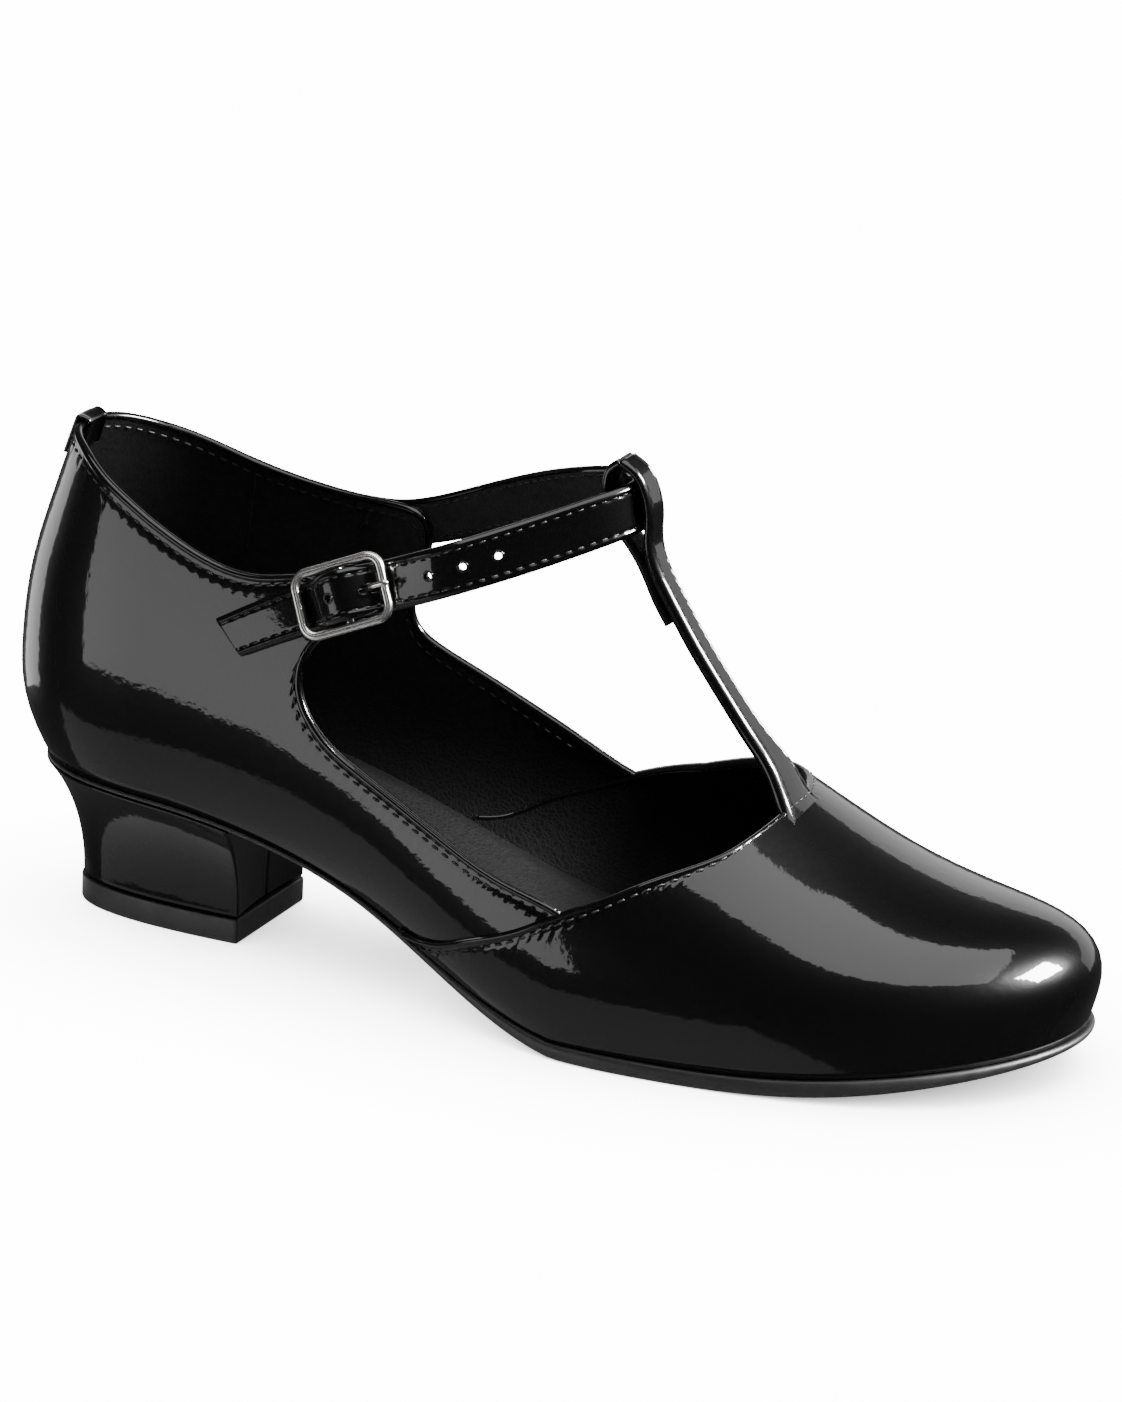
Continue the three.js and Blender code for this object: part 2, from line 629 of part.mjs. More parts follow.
function vampShell() {
  const inner = vampSheet(-LINING_LAP);
  const outer = vampSheet(QUARTER_WALL + VAMP_LAP);
  return shell(inner, outer, (i) => i <= THROAT_COLUMNS || i > inner.length - 1 - THROAT_COLUMNS);
}

const upperGeometry = () => toGeometry(toSolid(vampShell()).add(toSolid(quarterShell())));

// Point of an outline that follows the feather line at a level distance
function featherPoint(along, side, distance) {
  const p = castPoint(along, angleAtHeight(along, 0, side), side);
  return offLast(p, distance, true);
}

const soleEdgePoint = (along, side) => featherPoint(along, side, SOLE_EDGE * sole.edge(along / LAST_LENGTH));
const soleThicknessAt = (x) => SOLE_THICKNESS * sole.thickness(x / LAST_LENGTH);

// Stations of the bottom pieces: closer together round the heel and the toe
const HEEL_STEPS = 9;
const WAIST_STEPS = 22;
const TOE_STEPS = 10;

function bottomStations() {
  const heel = shares(HEEL_STEPS).map((share) => HEEL_FAN * share);
  const waist = shares(WAIST_STEPS).map((share) => HEEL_FAN + (TOE_FAN - HEEL_FAN) * share);
  const toe = shares(TOE_STEPS).map((share) => TOE_FAN + (LAST_LENGTH - TOE_FAN) * share);
  return [...heel, ...waist.slice(1), ...toe.slice(1)];
}

// Flat piece that follows the seat: pairs of edge points joined across the foot
function bottomPiece(edge, topAt, undersideAt) {
  const pairs = bottomStations().map((along) => [edge(along, -1), edge(along, 1)]);
  const level = (p, height) => new THREE.Vector3(p.x, p.y, height(p.x));
  const triangles = [];
  for (let i = 1; i < pairs.length; i++) {
    const [[a, b], [d, c]] = [pairs[i - 1], pairs[i]];
    triangles.push(...quad(...[a, d, c, b].map((p) => level(p, topAt))));
    triangles.push(...quad(...[b, c, d, a].map((p) => level(p, undersideAt))));
    triangles.push(...quad(level(a, undersideAt), level(d, undersideAt), level(d, topAt), level(a, topAt)));
    triangles.push(...quad(level(b, topAt), level(c, topAt), level(c, undersideAt), level(b, undersideAt)));
  }
  return closedGeometry(triangles);
}

const soleUnderside = (x) => Math.max(0, seat(x) - soleThicknessAt(x));
const outsoleGeometry = () => bottomPiece(soleEdgePoint, seat, soleUnderside);

function insoleGeometry() {
  const inset = -(LINING_LAP + INSOLE_CLEARANCE);
  const edge = (along, side) => featherPoint(along, side, inset);
  return bottomPiece(edge, (x) => seat(x) + GAP + INSOLE_THICKNESS, (x) => seat(x) + GAP);
}

// Outline points spread evenly along a polyline
function spread(points, count) {
  const path = new THREE.CurvePath();
  for (let i = 1; i < points.length; i++) path.add(new THREE.LineCurve(points[i - 1], points[i]));
  return path.getSpacedPoints(count);
}

// Heel: D-shaped sections from the outsole's outline down to the lift
const HEEL_OUTLINE_STEPS = 28;
const HEEL_LEVELS = 6;
const HEEL_TAPER = 2.2;
const LIFT_SQUARENESS = 2.6;

function heelTopOutline() {
  const breast = BREAST_STATION * LAST_LENGTH;
  const stops = shares(HEEL_STEPS * 2).map((share) => breast * (1 - share));
  const lateral = stops.map((along) => soleEdgePoint(along, -1));
  const medial = stops.map((along) => soleEdgePoint(along, 1)).reverse();
  const points = [...lateral, ...medial.slice(1)].map((p) => new THREE.Vector2(p.x, p.y));
  return spread(points, HEEL_OUTLINE_STEPS);
}

function liftOutline(lip) {
  const front = LIFT_BACK + LIFT_LENGTH;
  const steps = HEEL_OUTLINE_STEPS * 2;
  const points = shares(steps).map((share) => {
    const turn = (share - 0.5) * Math.PI;
    const power = 2 / LIFT_SQUARENESS;
    const x = front - (LIFT_LENGTH + lip) * Math.cos(turn) ** power;
    const y = Math.sign(turn) * (LIFT_WIDTH / 2 + lip) * Math.abs(Math.sin(turn)) ** power;
    return new THREE.Vector2(x, y);
  });
  return spread(points, HEEL_OUTLINE_STEPS);
}

// Hollow front edge between the two breast corners
function breastPoints(medialCorner, lateralCorner) {
  const steps = 6;
  return shares(steps).slice(1, -1).map((share) => {
    const p = medialCorner.clone().lerp(lateralCorner, share);
    p.x -= BREAST_HOLLOW * 4 * share * (1 - share);
    return p;
  });
}

function heelGeometry() {
  const top = heelTopOutline();
  const bottom = liftOutline(0);
  const topAt = (x) => soleUnderside(x) - GAP;
  const level = (share) => {
    const ease = 1 - (1 - share) ** HEEL_TAPER;
    const ring = top.map((p, k) => {
      const q = p.clone().lerp(bottom[k], ease);
      return new THREE.Vector3(q.x, q.y, THREE.MathUtils.lerp(topAt(p.x), LIFT_HEIGHT, share));
    });
    return [...ring, ...breastPoints(ring[ring.length - 1], ring[0])];
  };
  const raised = level(0).map((p) => p.clone().setZ(p.z + SOLE_THICKNESS));
  const block = loft([raised, ...shares(HEEL_LEVELS).map(level)]);
  return toGeometry(toSolid(block).subtract(spaceAbove(topAt)));
}

// Everything above a height that changes only along the foot
function spaceAbove(topAt) {
  const start = -HEEL_SETBACK;
  const end = (BREAST_STATION + HEEL_ROUND_START) * LAST_LENGTH;
  const steps = 16;
  const shape = new THREE.Shape();
  const curve = shares(steps).map((share) => start + (end - start) * share);
  shape.moveTo(start, COLLAR_HEIGHT);
  curve.forEach((x) => shape.lineTo(x, topAt(Math.max(0, x))));
  shape.lineTo(end, COLLAR_HEIGHT);
  const geometry = new THREE.ExtrudeGeometry(shape, { depth: BALL_BREADTH, bevelEnabled: false });
  geometry.rotateX(Math.PI / 2);
  geometry.translate(0, BALL_BREADTH / 2, 0);
  return toSolid(geometry);
}

function liftGeometry() {
  const outline = liftOutline(LIFT_LIP);
  const ring = (z) => outline.map((p) => new THREE.Vector3(p.x, p.y, z));
  return loft([ring(0), ring(LIFT_HEIGHT - GAP)]);
}

// Ribbon along stops of a middle point and the way its outer face looks
function ribbon(stops) {
  const rows = stops.map(({ point, normal }) => {
    const { x, y, z } = point;
    return { x, y, z, nx: normal.x, ny: normal.y, nz: normal.z };
  });
  const path = route(rows, { x: 1, y: 1, z: 1 });
  const pointAt = (distance) => {
    const { x, y, z } = path.value(distance / path.total);
    return new THREE.Vector3(x, y, z);
  };
  const at = (distance) => {
    const { nx, ny, nz } = path.value(distance / path.total);
    const tangent = pointAt(distance + PROBE).sub(pointAt(distance - PROBE)).normalize();
    const normal = new THREE.Vector3(nx, ny, nz).projectOnPlane(tangent).normalize();
    return { point: pointAt(distance), tangent, normal };
  };
  return { at, total: path.total, stops: path.stops.map((share) => share * path.total) };
}

// Section of a strap with bevelled corners; its edges drop by bow
function strapSection({ point, tangent, normal, width, thickness, bow = 0, slant = 0 }) {
  const across = normal.clone().cross(tangent).normalize();
  const half = width / 2;
  const top = thickness / 2;
  const bevel = Math.min(STRAP_BEVEL, top / 2);
  const [inner, low] = [half - bevel, top - bevel];
  const outline = [
    [-half, -low], [-inner, -top], [0, -top], [inner, -top], [half, -low],
    [half, low], [inner, top], [0, top], [-inner, top], [-half, low],
  ];
  return outline.map(([b, n]) => {
    const p = point.clone().addScaledVector(across, b).addScaledVector(tangent, -slant * b);
    return p.addScaledVector(normal, n - bow * (b / half) ** 2);
  });
}

// Distances from one to another in steps no longer than this
function paces(from, to, step) {
  return shares(Math.max(1, Math.ceil((to - from) / step))).map((share) => from + (to - from) * share);
}

// Ankle strap's middle line, before the buckle lifts it
const STRAP_OFF_LAST = QUARTER_WALL + GAP + STRAP_THICKNESS / 2;
const LATERAL_STOPS = 13;

function strapOnLast({ along, height }, side) {
  const p = onLast(along * LAST_LENGTH, height * COLLAR_HEIGHT, side);
  return { point: offLast(p, STRAP_OFF_LAST), normal: normalAt(p) };
}

function strapFree({ forward, across, level, turn }) {
  const flat = Math.cos(STRAP_LEAN * RADIAN);
  return {
    point: new THREE.Vector3(forward * LAST_LENGTH, across * BALL_BREADTH, seat(0) + level * COLLAR_HEIGHT),
    normal: new THREE.Vector3(
      Math.cos(turn * RADIAN) * flat,
      Math.sin(turn * RADIAN) * flat,
      Math.sin(STRAP_LEAN * RADIAN),
    ),
  };
}

const lateralRun = shares(LATERAL_STOPS).map((share) => ({
  along: STRAP_TAIL.along + (STRAP_LEAVES.along - STRAP_TAIL.along) * share,
  height: STRAP_TAIL.height + (STRAP_LEAVES.height - STRAP_TAIL.height) * share,
}));
const ankleLine = ribbon([
  ...lateralRun.map((row) => strapOnLast(row, SIDES.lateral)),
  ...STRAP_FREE.map(strapFree),
  ...STRAP_END.map((row) => strapOnLast(row, SIDES.medial)),
]);
const buckleAt = ankleLine.stops[LATERAL_STOPS] * BUCKLE_PLACE;
const apexAt = ankleLine.stops[lateralRun.length + STRAP_APEX_ROW];

// Buckle: e1 runs forward along the strap, e2 up across it, e3 out of the quarter
const BAR_OUT = QUARTER_WALL + GAP + KEEPER_THICKNESS + GAP + CENTRE_BAR / 2;
const FRAME_OUT = STRAP_OFF_LAST + STRAP_THICKNESS / 2 + GAP + BUCKLE_BAR / 2;
const FRAME_HALF_LENGTH = (BUCKLE_LENGTH - BUCKLE_BAR) / 2;
const FRAME_HALF_WIDTH = STRAP_WIDTH / 2 + BUCKLE_SIDE_PLAY + BUCKLE_BAR / 2;
const PRONG_OUT = FRAME_OUT + BUCKLE_BAR / 2 + GAP + PRONG_DIAMETER / 2;
const OVER_KEEPER = BAR_OUT + CENTRE_BAR / 2 + GAP + KEEPER_THICKNESS + GAP + STRAP_THICKNESS / 2;
const STRAP_LIFT = OVER_KEEPER - STRAP_OFF_LAST;
const LIFT_REACH = FRAME_HALF_LENGTH;

const seatOfBuckle = ankleLine.at(buckleAt);
const buckleBase = seatOfBuckle.point.clone().addScaledVector(seatOfBuckle.normal, -STRAP_OFF_LAST);
const buckleAcross = seatOfBuckle.normal.clone().cross(seatOfBuckle.tangent).normalize();

function inBuckle(e1, e2, e3) {
  return buckleBase.clone()
    .addScaledVector(seatOfBuckle.tangent, e1)
    .addScaledVector(buckleAcross, e2)
    .addScaledVector(seatOfBuckle.normal, e3);
}

// Ankle strap's middle line, lifted over the centre bar
function strapAt(distance) {
  const { point, tangent, normal } = ankleLine.at(distance);
  const from = THREE.MathUtils.clamp((distance - buckleAt) / LIFT_REACH, -1, 1) * Math.PI;
  const lift = (STRAP_LIFT * (1 + Math.cos(from))) / 2;
  const climb = (-STRAP_LIFT * Math.PI * Math.sin(from)) / (2 * LIFT_REACH);
  return {
    point: point.addScaledVector(normal, lift),
    tangent: tangent.clone().addScaledVector(normal, climb).normalize(),
    normal: normal.clone().addScaledVector(tangent, -climb).normalize(),
  };
}

// Sides of round bars, holes and corner arcs
const BAR_SIDES = 8;
const HOLE_SIDES = 10;
const CORNER_STEPS = 5;

// Round bar along points; out is a direction that its path never follows
function bar(points, radii, out, isRing = false) {
  const end = points.length - 1;
  const sections = points.map((p, i) => {
    const before = points[isRing ? (i + end) % points.length : Math.max(0, i - 1)];
    const after = points[isRing ? (i + 1) % points.length : Math.min(end, i + 1)];
    const tangent = after.clone().sub(before).normalize();
    const u = out.clone().projectOnPlane(tangent).normalize();
    const v = tangent.clone().cross(u);
    return shares(BAR_SIDES).slice(1).map((share) => {
      const turn = (share + 0.5 / BAR_SIDES) * 2 * Math.PI;
      const [rise, swing] = [radii[i] * Math.cos(turn), radii[i] * Math.sin(turn)];
      return p.clone().addScaledVector(u, rise).addScaledVector(v, swing);
    });
  });
  return loft(sections, isRing);
}

function prongPoints(rows) {
  const level = (out) => BAR_OUT + (PRONG_OUT - BAR_OUT) * out;
  return rows.map(({ along, out }) => inBuckle(along * PRONG_REACH, 0, level(out)));
}

// Rows of the prong's path that pass the strap, and steps along the strap
const PRONG_IN_STRAP = { from: 1, to: 6 };
const STRAIGHT_PACE = 5;
const BUCKLE_PACE = 1.5;
const TURN_PACE = 2.6;

function strapGeometry() {
  const [buckleStart, buckleEnd] = [buckleAt - BUCKLE_LENGTH / 2, buckleAt + BUCKLE_LENGTH / 2];
  const [turnStart, turnEnd] = [apexAt - 1.5 * STRAP_WIDTH, apexAt + 1.5 * STRAP_WIDTH];
  const stations = [
    ...paces(0, buckleStart, STRAIGHT_PACE),
    ...paces(buckleStart, buckleEnd, BUCKLE_PACE).slice(1),
    ...paces(buckleEnd, turnStart, STRAIGHT_PACE).slice(1),
    ...paces(turnStart, turnEnd, TURN_PACE).slice(1),
    ...paces(turnEnd, ankleLine.total, STRAIGHT_PACE).slice(1),
  ];
  const size = { width: STRAP_WIDTH, thickness: STRAP_THICKNESS };
  const sections = stations.map((distance, i) => {
    const taper = STRAP_TAIL_TAPER * Math.max(0, 1 - distance / buckleAt);
    const own = { ...size, width: size.width * (1 - taper), slant: i === 0 ? STRAP_TAIL_SLANT : 0 };
    return strapSection({ ...strapAt(distance), ...own });
  });
  let strap = toSolid(loft(sections));
  for (let k = -HOLES_BEHIND_PRONG; k <= HOLES_FORWARD_OF_PRONG; k++) {
    if (k === 0) continue;
    const { point, normal } = strapAt(buckleAt + PRONG_HOLE + HOLE_PITCH * k);
    strap = strap.subtract(toSolid(punch(point, normal)));
  }
  const rows = PRONG_PATH.slice(PRONG_IN_STRAP.from, PRONG_IN_STRAP.to);
  const room = bar(prongPoints(rows), rows.map(() => PRONG_DIAMETER / 2 + GAP), buckleAcross);
  return toGeometry(strap.subtract(toSolid(room)));
}

// Cylinder of a punched hole through the strap
function punch(point, normal) {
  const radius = HOLE_DIAMETER / 2;
  const geometry = new THREE.CylinderGeometry(radius, radius, STRAP_THICKNESS * 2, HOLE_SIDES);
  geometry.applyQuaternion(new THREE.Quaternion().setFromUnitVectors(new THREE.Vector3(0, 1, 0), normal));
  geometry.translate(point.x, point.y, point.z);
  return geometry;
}

function frameGeometry() {
  const radius = BUCKLE_CORNER - BUCKLE_BAR / 2;
  const corners = [[1, 1], [-1, 1], [-1, -1], [1, -1]];
  const points = corners.flatMap(([a, b], quarter) => shares(CORNER_STEPS).map((share) => {
    const turn = (quarter + share) * (Math.PI / 2);
    const e1 = a * (FRAME_HALF_LENGTH - radius) + radius * Math.cos(turn);
    const e2 = b * (FRAME_HALF_WIDTH - radius) + radius * Math.sin(turn);
    return inBuckle(e1, e2, FRAME_OUT);
  }));
  const ring = bar(points, points.map(() => BUCKLE_BAR / 2), seatOfBuckle.normal, true);
  const ends = [inBuckle(0, -FRAME_HALF_WIDTH, BAR_OUT), inBuckle(0, FRAME_HALF_WIDTH, BAR_OUT)];
  const centre = bar(ends, ends.map(() => CENTRE_BAR / 2), seatOfBuckle.normal);
  return toGeometry(toSolid(ring).add(toSolid(centre)));
}

// Profile in the buckle's e1 and e3, carried to both sides along e2
function acrossBuckle(shape, width) {
  const options = { depth: width, bevelEnabled: false, curveSegments: BAR_SIDES };
  const geometry = new THREE.ExtrudeGeometry(shape, options);
  geometry.translate(0, 0, -width / 2);
  const side = seatOfBuckle.tangent.clone().cross(seatOfBuckle.normal);
  const place = new THREE.Matrix4().makeBasis(seatOfBuckle.tangent, seatOfBuckle.normal, side);
  return geometry.applyMatrix4(place.setPosition(buckleBase));
}

function prongGeometry() {
  const inner = CENTRE_BAR / 2 + PRONG_EYE_PLAY;
  const eye = new THREE.Shape().absarc(0, BAR_OUT, inner + PRONG_EYE_THICKNESS, 0, 2 * Math.PI);
  eye.holes.push(new THREE.Path().absarc(0, BAR_OUT, inner, 0, 2 * Math.PI));
  const girths = PRONG_PATH.map(({ girth }) => (girth * PRONG_DIAMETER) / 2);
  const pin = bar(prongPoints(PRONG_PATH), girths, buckleAcross);
  return toGeometry(toSolid(acrossBuckle(eye, PRONG_EYE_WIDTH)).add(toSolid(pin)));
}

// Leather keeper: a strip folded round the centre bar and sewn to the quarter behind it
function keeperGeometry() {
  const inner = CENTRE_BAR / 2 + GAP;
  const outer = inner + KEEPER_THICKNESS;
  const low = BAR_OUT - outer;
  const rise = Math.atan2(outer - KEEPER_THICKNESS, KEEPER_REACH);
  const reach = Math.hypot(outer - KEEPER_THICKNESS, KEEPER_REACH);
  const tangentTurn = Math.PI - rise - Math.acos(outer / reach);
  const shape = new THREE.Shape();
  shape.moveTo(-KEEPER_REACH, low);
  shape.lineTo(0, low);
  shape.absarc(0, BAR_OUT, outer, -Math.PI / 2, tangentTurn);
  shape.lineTo(-KEEPER_REACH, low + KEEPER_THICKNESS);
  shape.holes.push(new THREE.Path().absarc(0, BAR_OUT, inner, 0, 2 * Math.PI));
  const slotReach = outer + PRONG_DIAMETER;
  const slot = new THREE.Shape();
  slot.moveTo(-slotReach, 0);
  slot.lineTo(slotReach, 0);
  slot.lineTo(slotReach, BAR_OUT + slotReach);
  slot.lineTo(-slotReach, BAR_OUT + slotReach);
  const slotSolid = toSolid(acrossBuckle(slot, PRONG_EYE_WIDTH + 4 * GAP));
  return toGeometry(toSolid(acrossBuckle(shape, KEEPER_WIDTH)).subtract(slotSolid));
}

// T-strap: steps along it, and how far its sewn fold sinks into the strap in front of it
const T_STRAP_PACE = 3.2;
const FOLD_GRIP = 0.15;

// Every row as a point in the shoe's middle plane with its own size
function tStrapRows() {
  const peak = castPoint(VAMP_EDGE.lateral[VAMP_EDGE.lateral.length - 1].along * LAST_LENGTH, 90, 1);
  const apex = ankleLine.at(apexAt).point;
  const size = ({ width = 1, thickness, bow = 0 }) => ({
    width: width * T_STRAP_WIDTH,
    thickness: thickness * T_STRAP_THICKNESS,
    bow: bow * T_STRAP_THICKNESS,
  });
  const base = T_STRAP_BASE.map((row) => {
    const p = castPoint(row.along * LAST_LENGTH, 90, 1);
    const out = QUARTER_WALL + VAMP_LAP + T_STRAP_SEAT_GAP + (row.thickness * T_STRAP_THICKNESS) / 2;
    return { ...offLast(p, out), ...size(row) };
  });
  const rise = T_STRAP_RISE.map((row) => ({
    x: peak.x + (apex.x - peak.x) * row.run,
    y: peak.y + (apex.y - peak.y) * row.run,
    z: peak.z + (apex.z - peak.z) * row.rise,
    ...size(row),
  }));
  const loop = T_STRAP_LOOP.map((row) => ({
    x: apex.x + row.forward * STRAP_WIDTH,
    y: apex.y,
    z: apex.z + row.up * STRAP_WIDTH,
    ...size(row),
  }));
  return { base, rise, loop, size };
}

function tStrapLine(rows) {
  const path = route(rows, { x: 1, y: 1, z: 1 });
  return paces(0, path.total, T_STRAP_PACE).map((distance) => {
    const at = (d) => new THREE.Vector3(...["x", "y", "z"].map((name) => path.value(d / path.total)[name]));
    const tangent = at(distance + PROBE).sub(at(distance - PROBE)).normalize();
    const normal = new THREE.Vector3(tangent.z, 0, -tangent.x).normalize();
    return strapSection({ ...path.value(distance / path.total), point: at(distance), tangent, normal });
  });
}

function tStrapGeometry() {
  const { base, rise, loop, size } = tStrapRows();
  const front = [...base, ...rise, ...loop.slice(0, T_STRAP_LOOP_TOP_ROW + 1)];
  const risePath = route(rise, { x: 1, y: 1, z: 1 });
  const fold = T_STRAP_FOLD.map((row) => {
    const here = risePath.value(row.share);
    const ahead = risePath.value(row.share + 0.01);
    const tangent = new THREE.Vector3(ahead.x - here.x, 0, ahead.z - here.z).normalize();
    const own = size(row);
    const back = (here.thickness + own.thickness) / 2 - FOLD_GRIP;
    return { ...here, ...own, x: here.x - tangent.z * back, z: here.z + tangent.x * back };
  });
  const behind = [...loop.slice(T_STRAP_LOOP_TOP_ROW), ...fold];
  return toGeometry(toSolid(loft(tStrapLine(front))).add(toSolid(loft(tStrapLine(behind)))));
}

// Back tab: a strip folded over the top edge at the back. Out is measured from the last
function tabGeometry() {
  const [outside, inside] = [QUARTER_WALL + GAP, -GAP];
  const [outer, inner] = [outside + TAB_THICKNESS, inside - TAB_THICKNESS];
  const outline = [
    [outer, -TAB_OUTSIDE], [outer, -TAB_OUTSIDE / 2], [outer, 0], [outer - GAP, GAP + TAB_THICKNESS / 2],
    [(outer + outside) / 2, GAP + TAB_THICKNESS], [(inner + inside) / 2, GAP + TAB_THICKNESS],
    [inner + GAP, GAP + TAB_THICKNESS / 2], [inner, 0], [inner, -TAB_INSIDE / 2], [inner, -TAB_INSIDE],
    [inside, -TAB_INSIDE], [inside, -TAB_INSIDE / 2], [inside, GAP], [outside, GAP],
    [outside, -TAB_OUTSIDE / 2], [outside, -TAB_OUTSIDE],
  ];
  const columns = 6;
  const sections = shares(columns).map((share) => {
    const place = (share - 0.5) * TAB_WIDTH;
    const side = place < 0 ? SIDES.lateral : SIDES.medial;
    return outline.map(([out, up]) => offLast(onLast(Math.abs(place), COLLAR_HEIGHT + up, side), out));
  });
  return loft(sections);
}

// Colours and finishes
const patent = new THREE.MeshStandardMaterial({ color: 0x0b0b0c, roughness: 0.12, metalness: 0 });
const liningLeather = new THREE.MeshStandardMaterial({ color: 0x141415, roughness: 0.7, metalness: 0 });
const rubber = new THREE.MeshStandardMaterial({ color: 0x101010, roughness: 0.6, metalness: 0 });
const nickel = new THREE.MeshStandardMaterial({ color: 0xb9b6b0, roughness: 0.25, metalness: 1 });

const shoe = new THREE.Group();
shoe.position.x = -(LIFT_BACK + LIFT_LENGTH / 2);

function piece(name, geometry, material) {
  const mesh = new THREE.Mesh(geometry, material);
  mesh.name = name;
  shoe.add(mesh);
  return mesh;
}

piece("outsole", outsoleGeometry(), rubber);
piece("heel", heelGeometry(), patent);
piece("heel_lift", liftGeometry(), rubber);
piece("insole", insoleGeometry(), liningLeather);
piece("upper", upperGeometry(), patent);
piece("t_strap", tStrapGeometry(), patent);
piece("ankle_strap", strapGeometry(), patent);
piece("buckle_frame", frameGeometry(), nickel);
piece("buckle_prong", prongGeometry(), nickel);
piece("buckle_keeper", keeperGeometry(), patent);
piece("back_tab", tabGeometry(), patent);

export default shoe;
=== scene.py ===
import math

import bmesh
import bpy
import numpy as np
from bpy.props import FloatProperty, FloatVectorProperty, PointerProperty
from bpy.types import Operator, Panel, PropertyGroup
from mathutils import Matrix, Vector


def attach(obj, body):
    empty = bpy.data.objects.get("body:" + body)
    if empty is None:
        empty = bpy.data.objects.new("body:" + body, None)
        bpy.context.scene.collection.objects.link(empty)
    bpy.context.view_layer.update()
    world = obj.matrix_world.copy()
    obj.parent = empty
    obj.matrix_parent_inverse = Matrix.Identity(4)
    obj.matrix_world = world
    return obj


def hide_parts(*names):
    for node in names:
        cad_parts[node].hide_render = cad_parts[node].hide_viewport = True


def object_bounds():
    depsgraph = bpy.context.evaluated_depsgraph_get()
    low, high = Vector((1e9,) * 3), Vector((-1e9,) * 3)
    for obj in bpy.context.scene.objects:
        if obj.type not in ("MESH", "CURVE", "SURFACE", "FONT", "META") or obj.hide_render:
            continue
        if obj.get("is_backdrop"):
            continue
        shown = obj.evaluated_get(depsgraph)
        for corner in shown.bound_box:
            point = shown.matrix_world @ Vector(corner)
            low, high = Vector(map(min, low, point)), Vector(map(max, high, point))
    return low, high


bl_info = {
    "name": "Dance Shoe Finisher",
    "version": (1, 0, 0),
    "blender": (4, 5, 0),
    "location": "3D View > Sidebar > Dance Shoe",
    "description": "Dresses a T-strap dance shoe in patent leather with stitching, bindings and lining",
    "category": "Object",
}

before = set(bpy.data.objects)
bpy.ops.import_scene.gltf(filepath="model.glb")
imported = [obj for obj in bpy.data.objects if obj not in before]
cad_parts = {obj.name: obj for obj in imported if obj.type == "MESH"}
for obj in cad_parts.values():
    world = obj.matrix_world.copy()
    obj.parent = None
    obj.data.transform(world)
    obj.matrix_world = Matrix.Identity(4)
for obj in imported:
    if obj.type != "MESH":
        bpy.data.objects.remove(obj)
CAD_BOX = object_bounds()

# Camera of the studio view: the picture is 1122 by 1402 pixels
VIEW_AZIMUTH = 23.5
VIEW_ELEVATION = 18.3
VIEW_ROLL = 2.5
VIEW_DISTANCE = 1.2
VIEW_TARGET = (0.0905, 0.0, 0.0635)
PICTURE_HEIGHT = 1402
FOCAL_PIXELS = 5616

# Sizes of the shoe in millimetres, the same as its solids have
LAST_LENGTH = 246.0
BALL_BREADTH = 80.0
INSTEP_HEIGHT = 60.0
HEEL_RISE = 31.4
TOE_SPRING = 7.0
HEEL_SETBACK = 10.3
COUNTER_HEIGHT = 58.0
COLLAR_HEIGHT = 74.0
QUARTER_WALL = 1.6
VAMP_LAP = 0.7
LINING_LAP = 0.5
SOLE_THICKNESS = 3.6
SOLE_EDGE = 3.5
INSOLE_THICKNESS = 3.0
INSOLE_CLEARANCE = 0.5
BREAST_STATION = 0.248
BREAST_HOLLOW = 1.2
LIFT_HEIGHT = 6.0
LIFT_BACK = 12.8
LIFT_LENGTH = 45.2
LIFT_WIDTH = 32.0
LIFT_LIP = 0.4
STRAP_WIDTH = 11.0
STRAP_THICKNESS = 2.0
STRAP_TAIL_SLANT = 0.26
STRAP_TAIL_TAPER = 0.12
HOLE_DIAMETER = 1.8
HOLE_PITCH = 7.5
HOLES = (-1, 1, 2, 3, 4)
T_STRAP_WIDTH = 7.6
T_STRAP_THICKNESS = 3.0
BUCKLE_LENGTH = 21.6
BUCKLE_BAR = 2.0
BUCKLE_CORNER = 4.0
BUCKLE_SIDE_PLAY = 0.35
CENTRE_BAR = 1.8
PRONG_DIAMETER = 1.3
PRONG_REACH = 11.5
PRONG_HOLE = 5.6
PRONG_EYE_WIDTH = 1.6
PRONG_EYE_THICKNESS = 0.7
PRONG_EYE_PLAY = 0.2
KEEPER_THICKNESS = 0.7
TAB_WIDTH = 7.6
TAB_THICKNESS = 0.75
TAB_OUTSIDE = 8.0
TAB_INSIDE = 6.0
GAP = 0.3

# Finer detail that only the dressed shoe has
BEAD = 0.95
STITCH_PITCH = 2.9
STRAP_STITCH_PITCH = 2.7
STITCH_LENGTH = 1.9
STITCH_RADIUS = 0.24
EDGE_TO_STITCH = 2.7
STRAP_EDGE_TO_STITCH = 1.7
PUCKER = 0.2


def table(names, *rows):
    """Named columns of a short table."""
    return dict(zip(names.split(), np.array(rows, dtype=float).T))


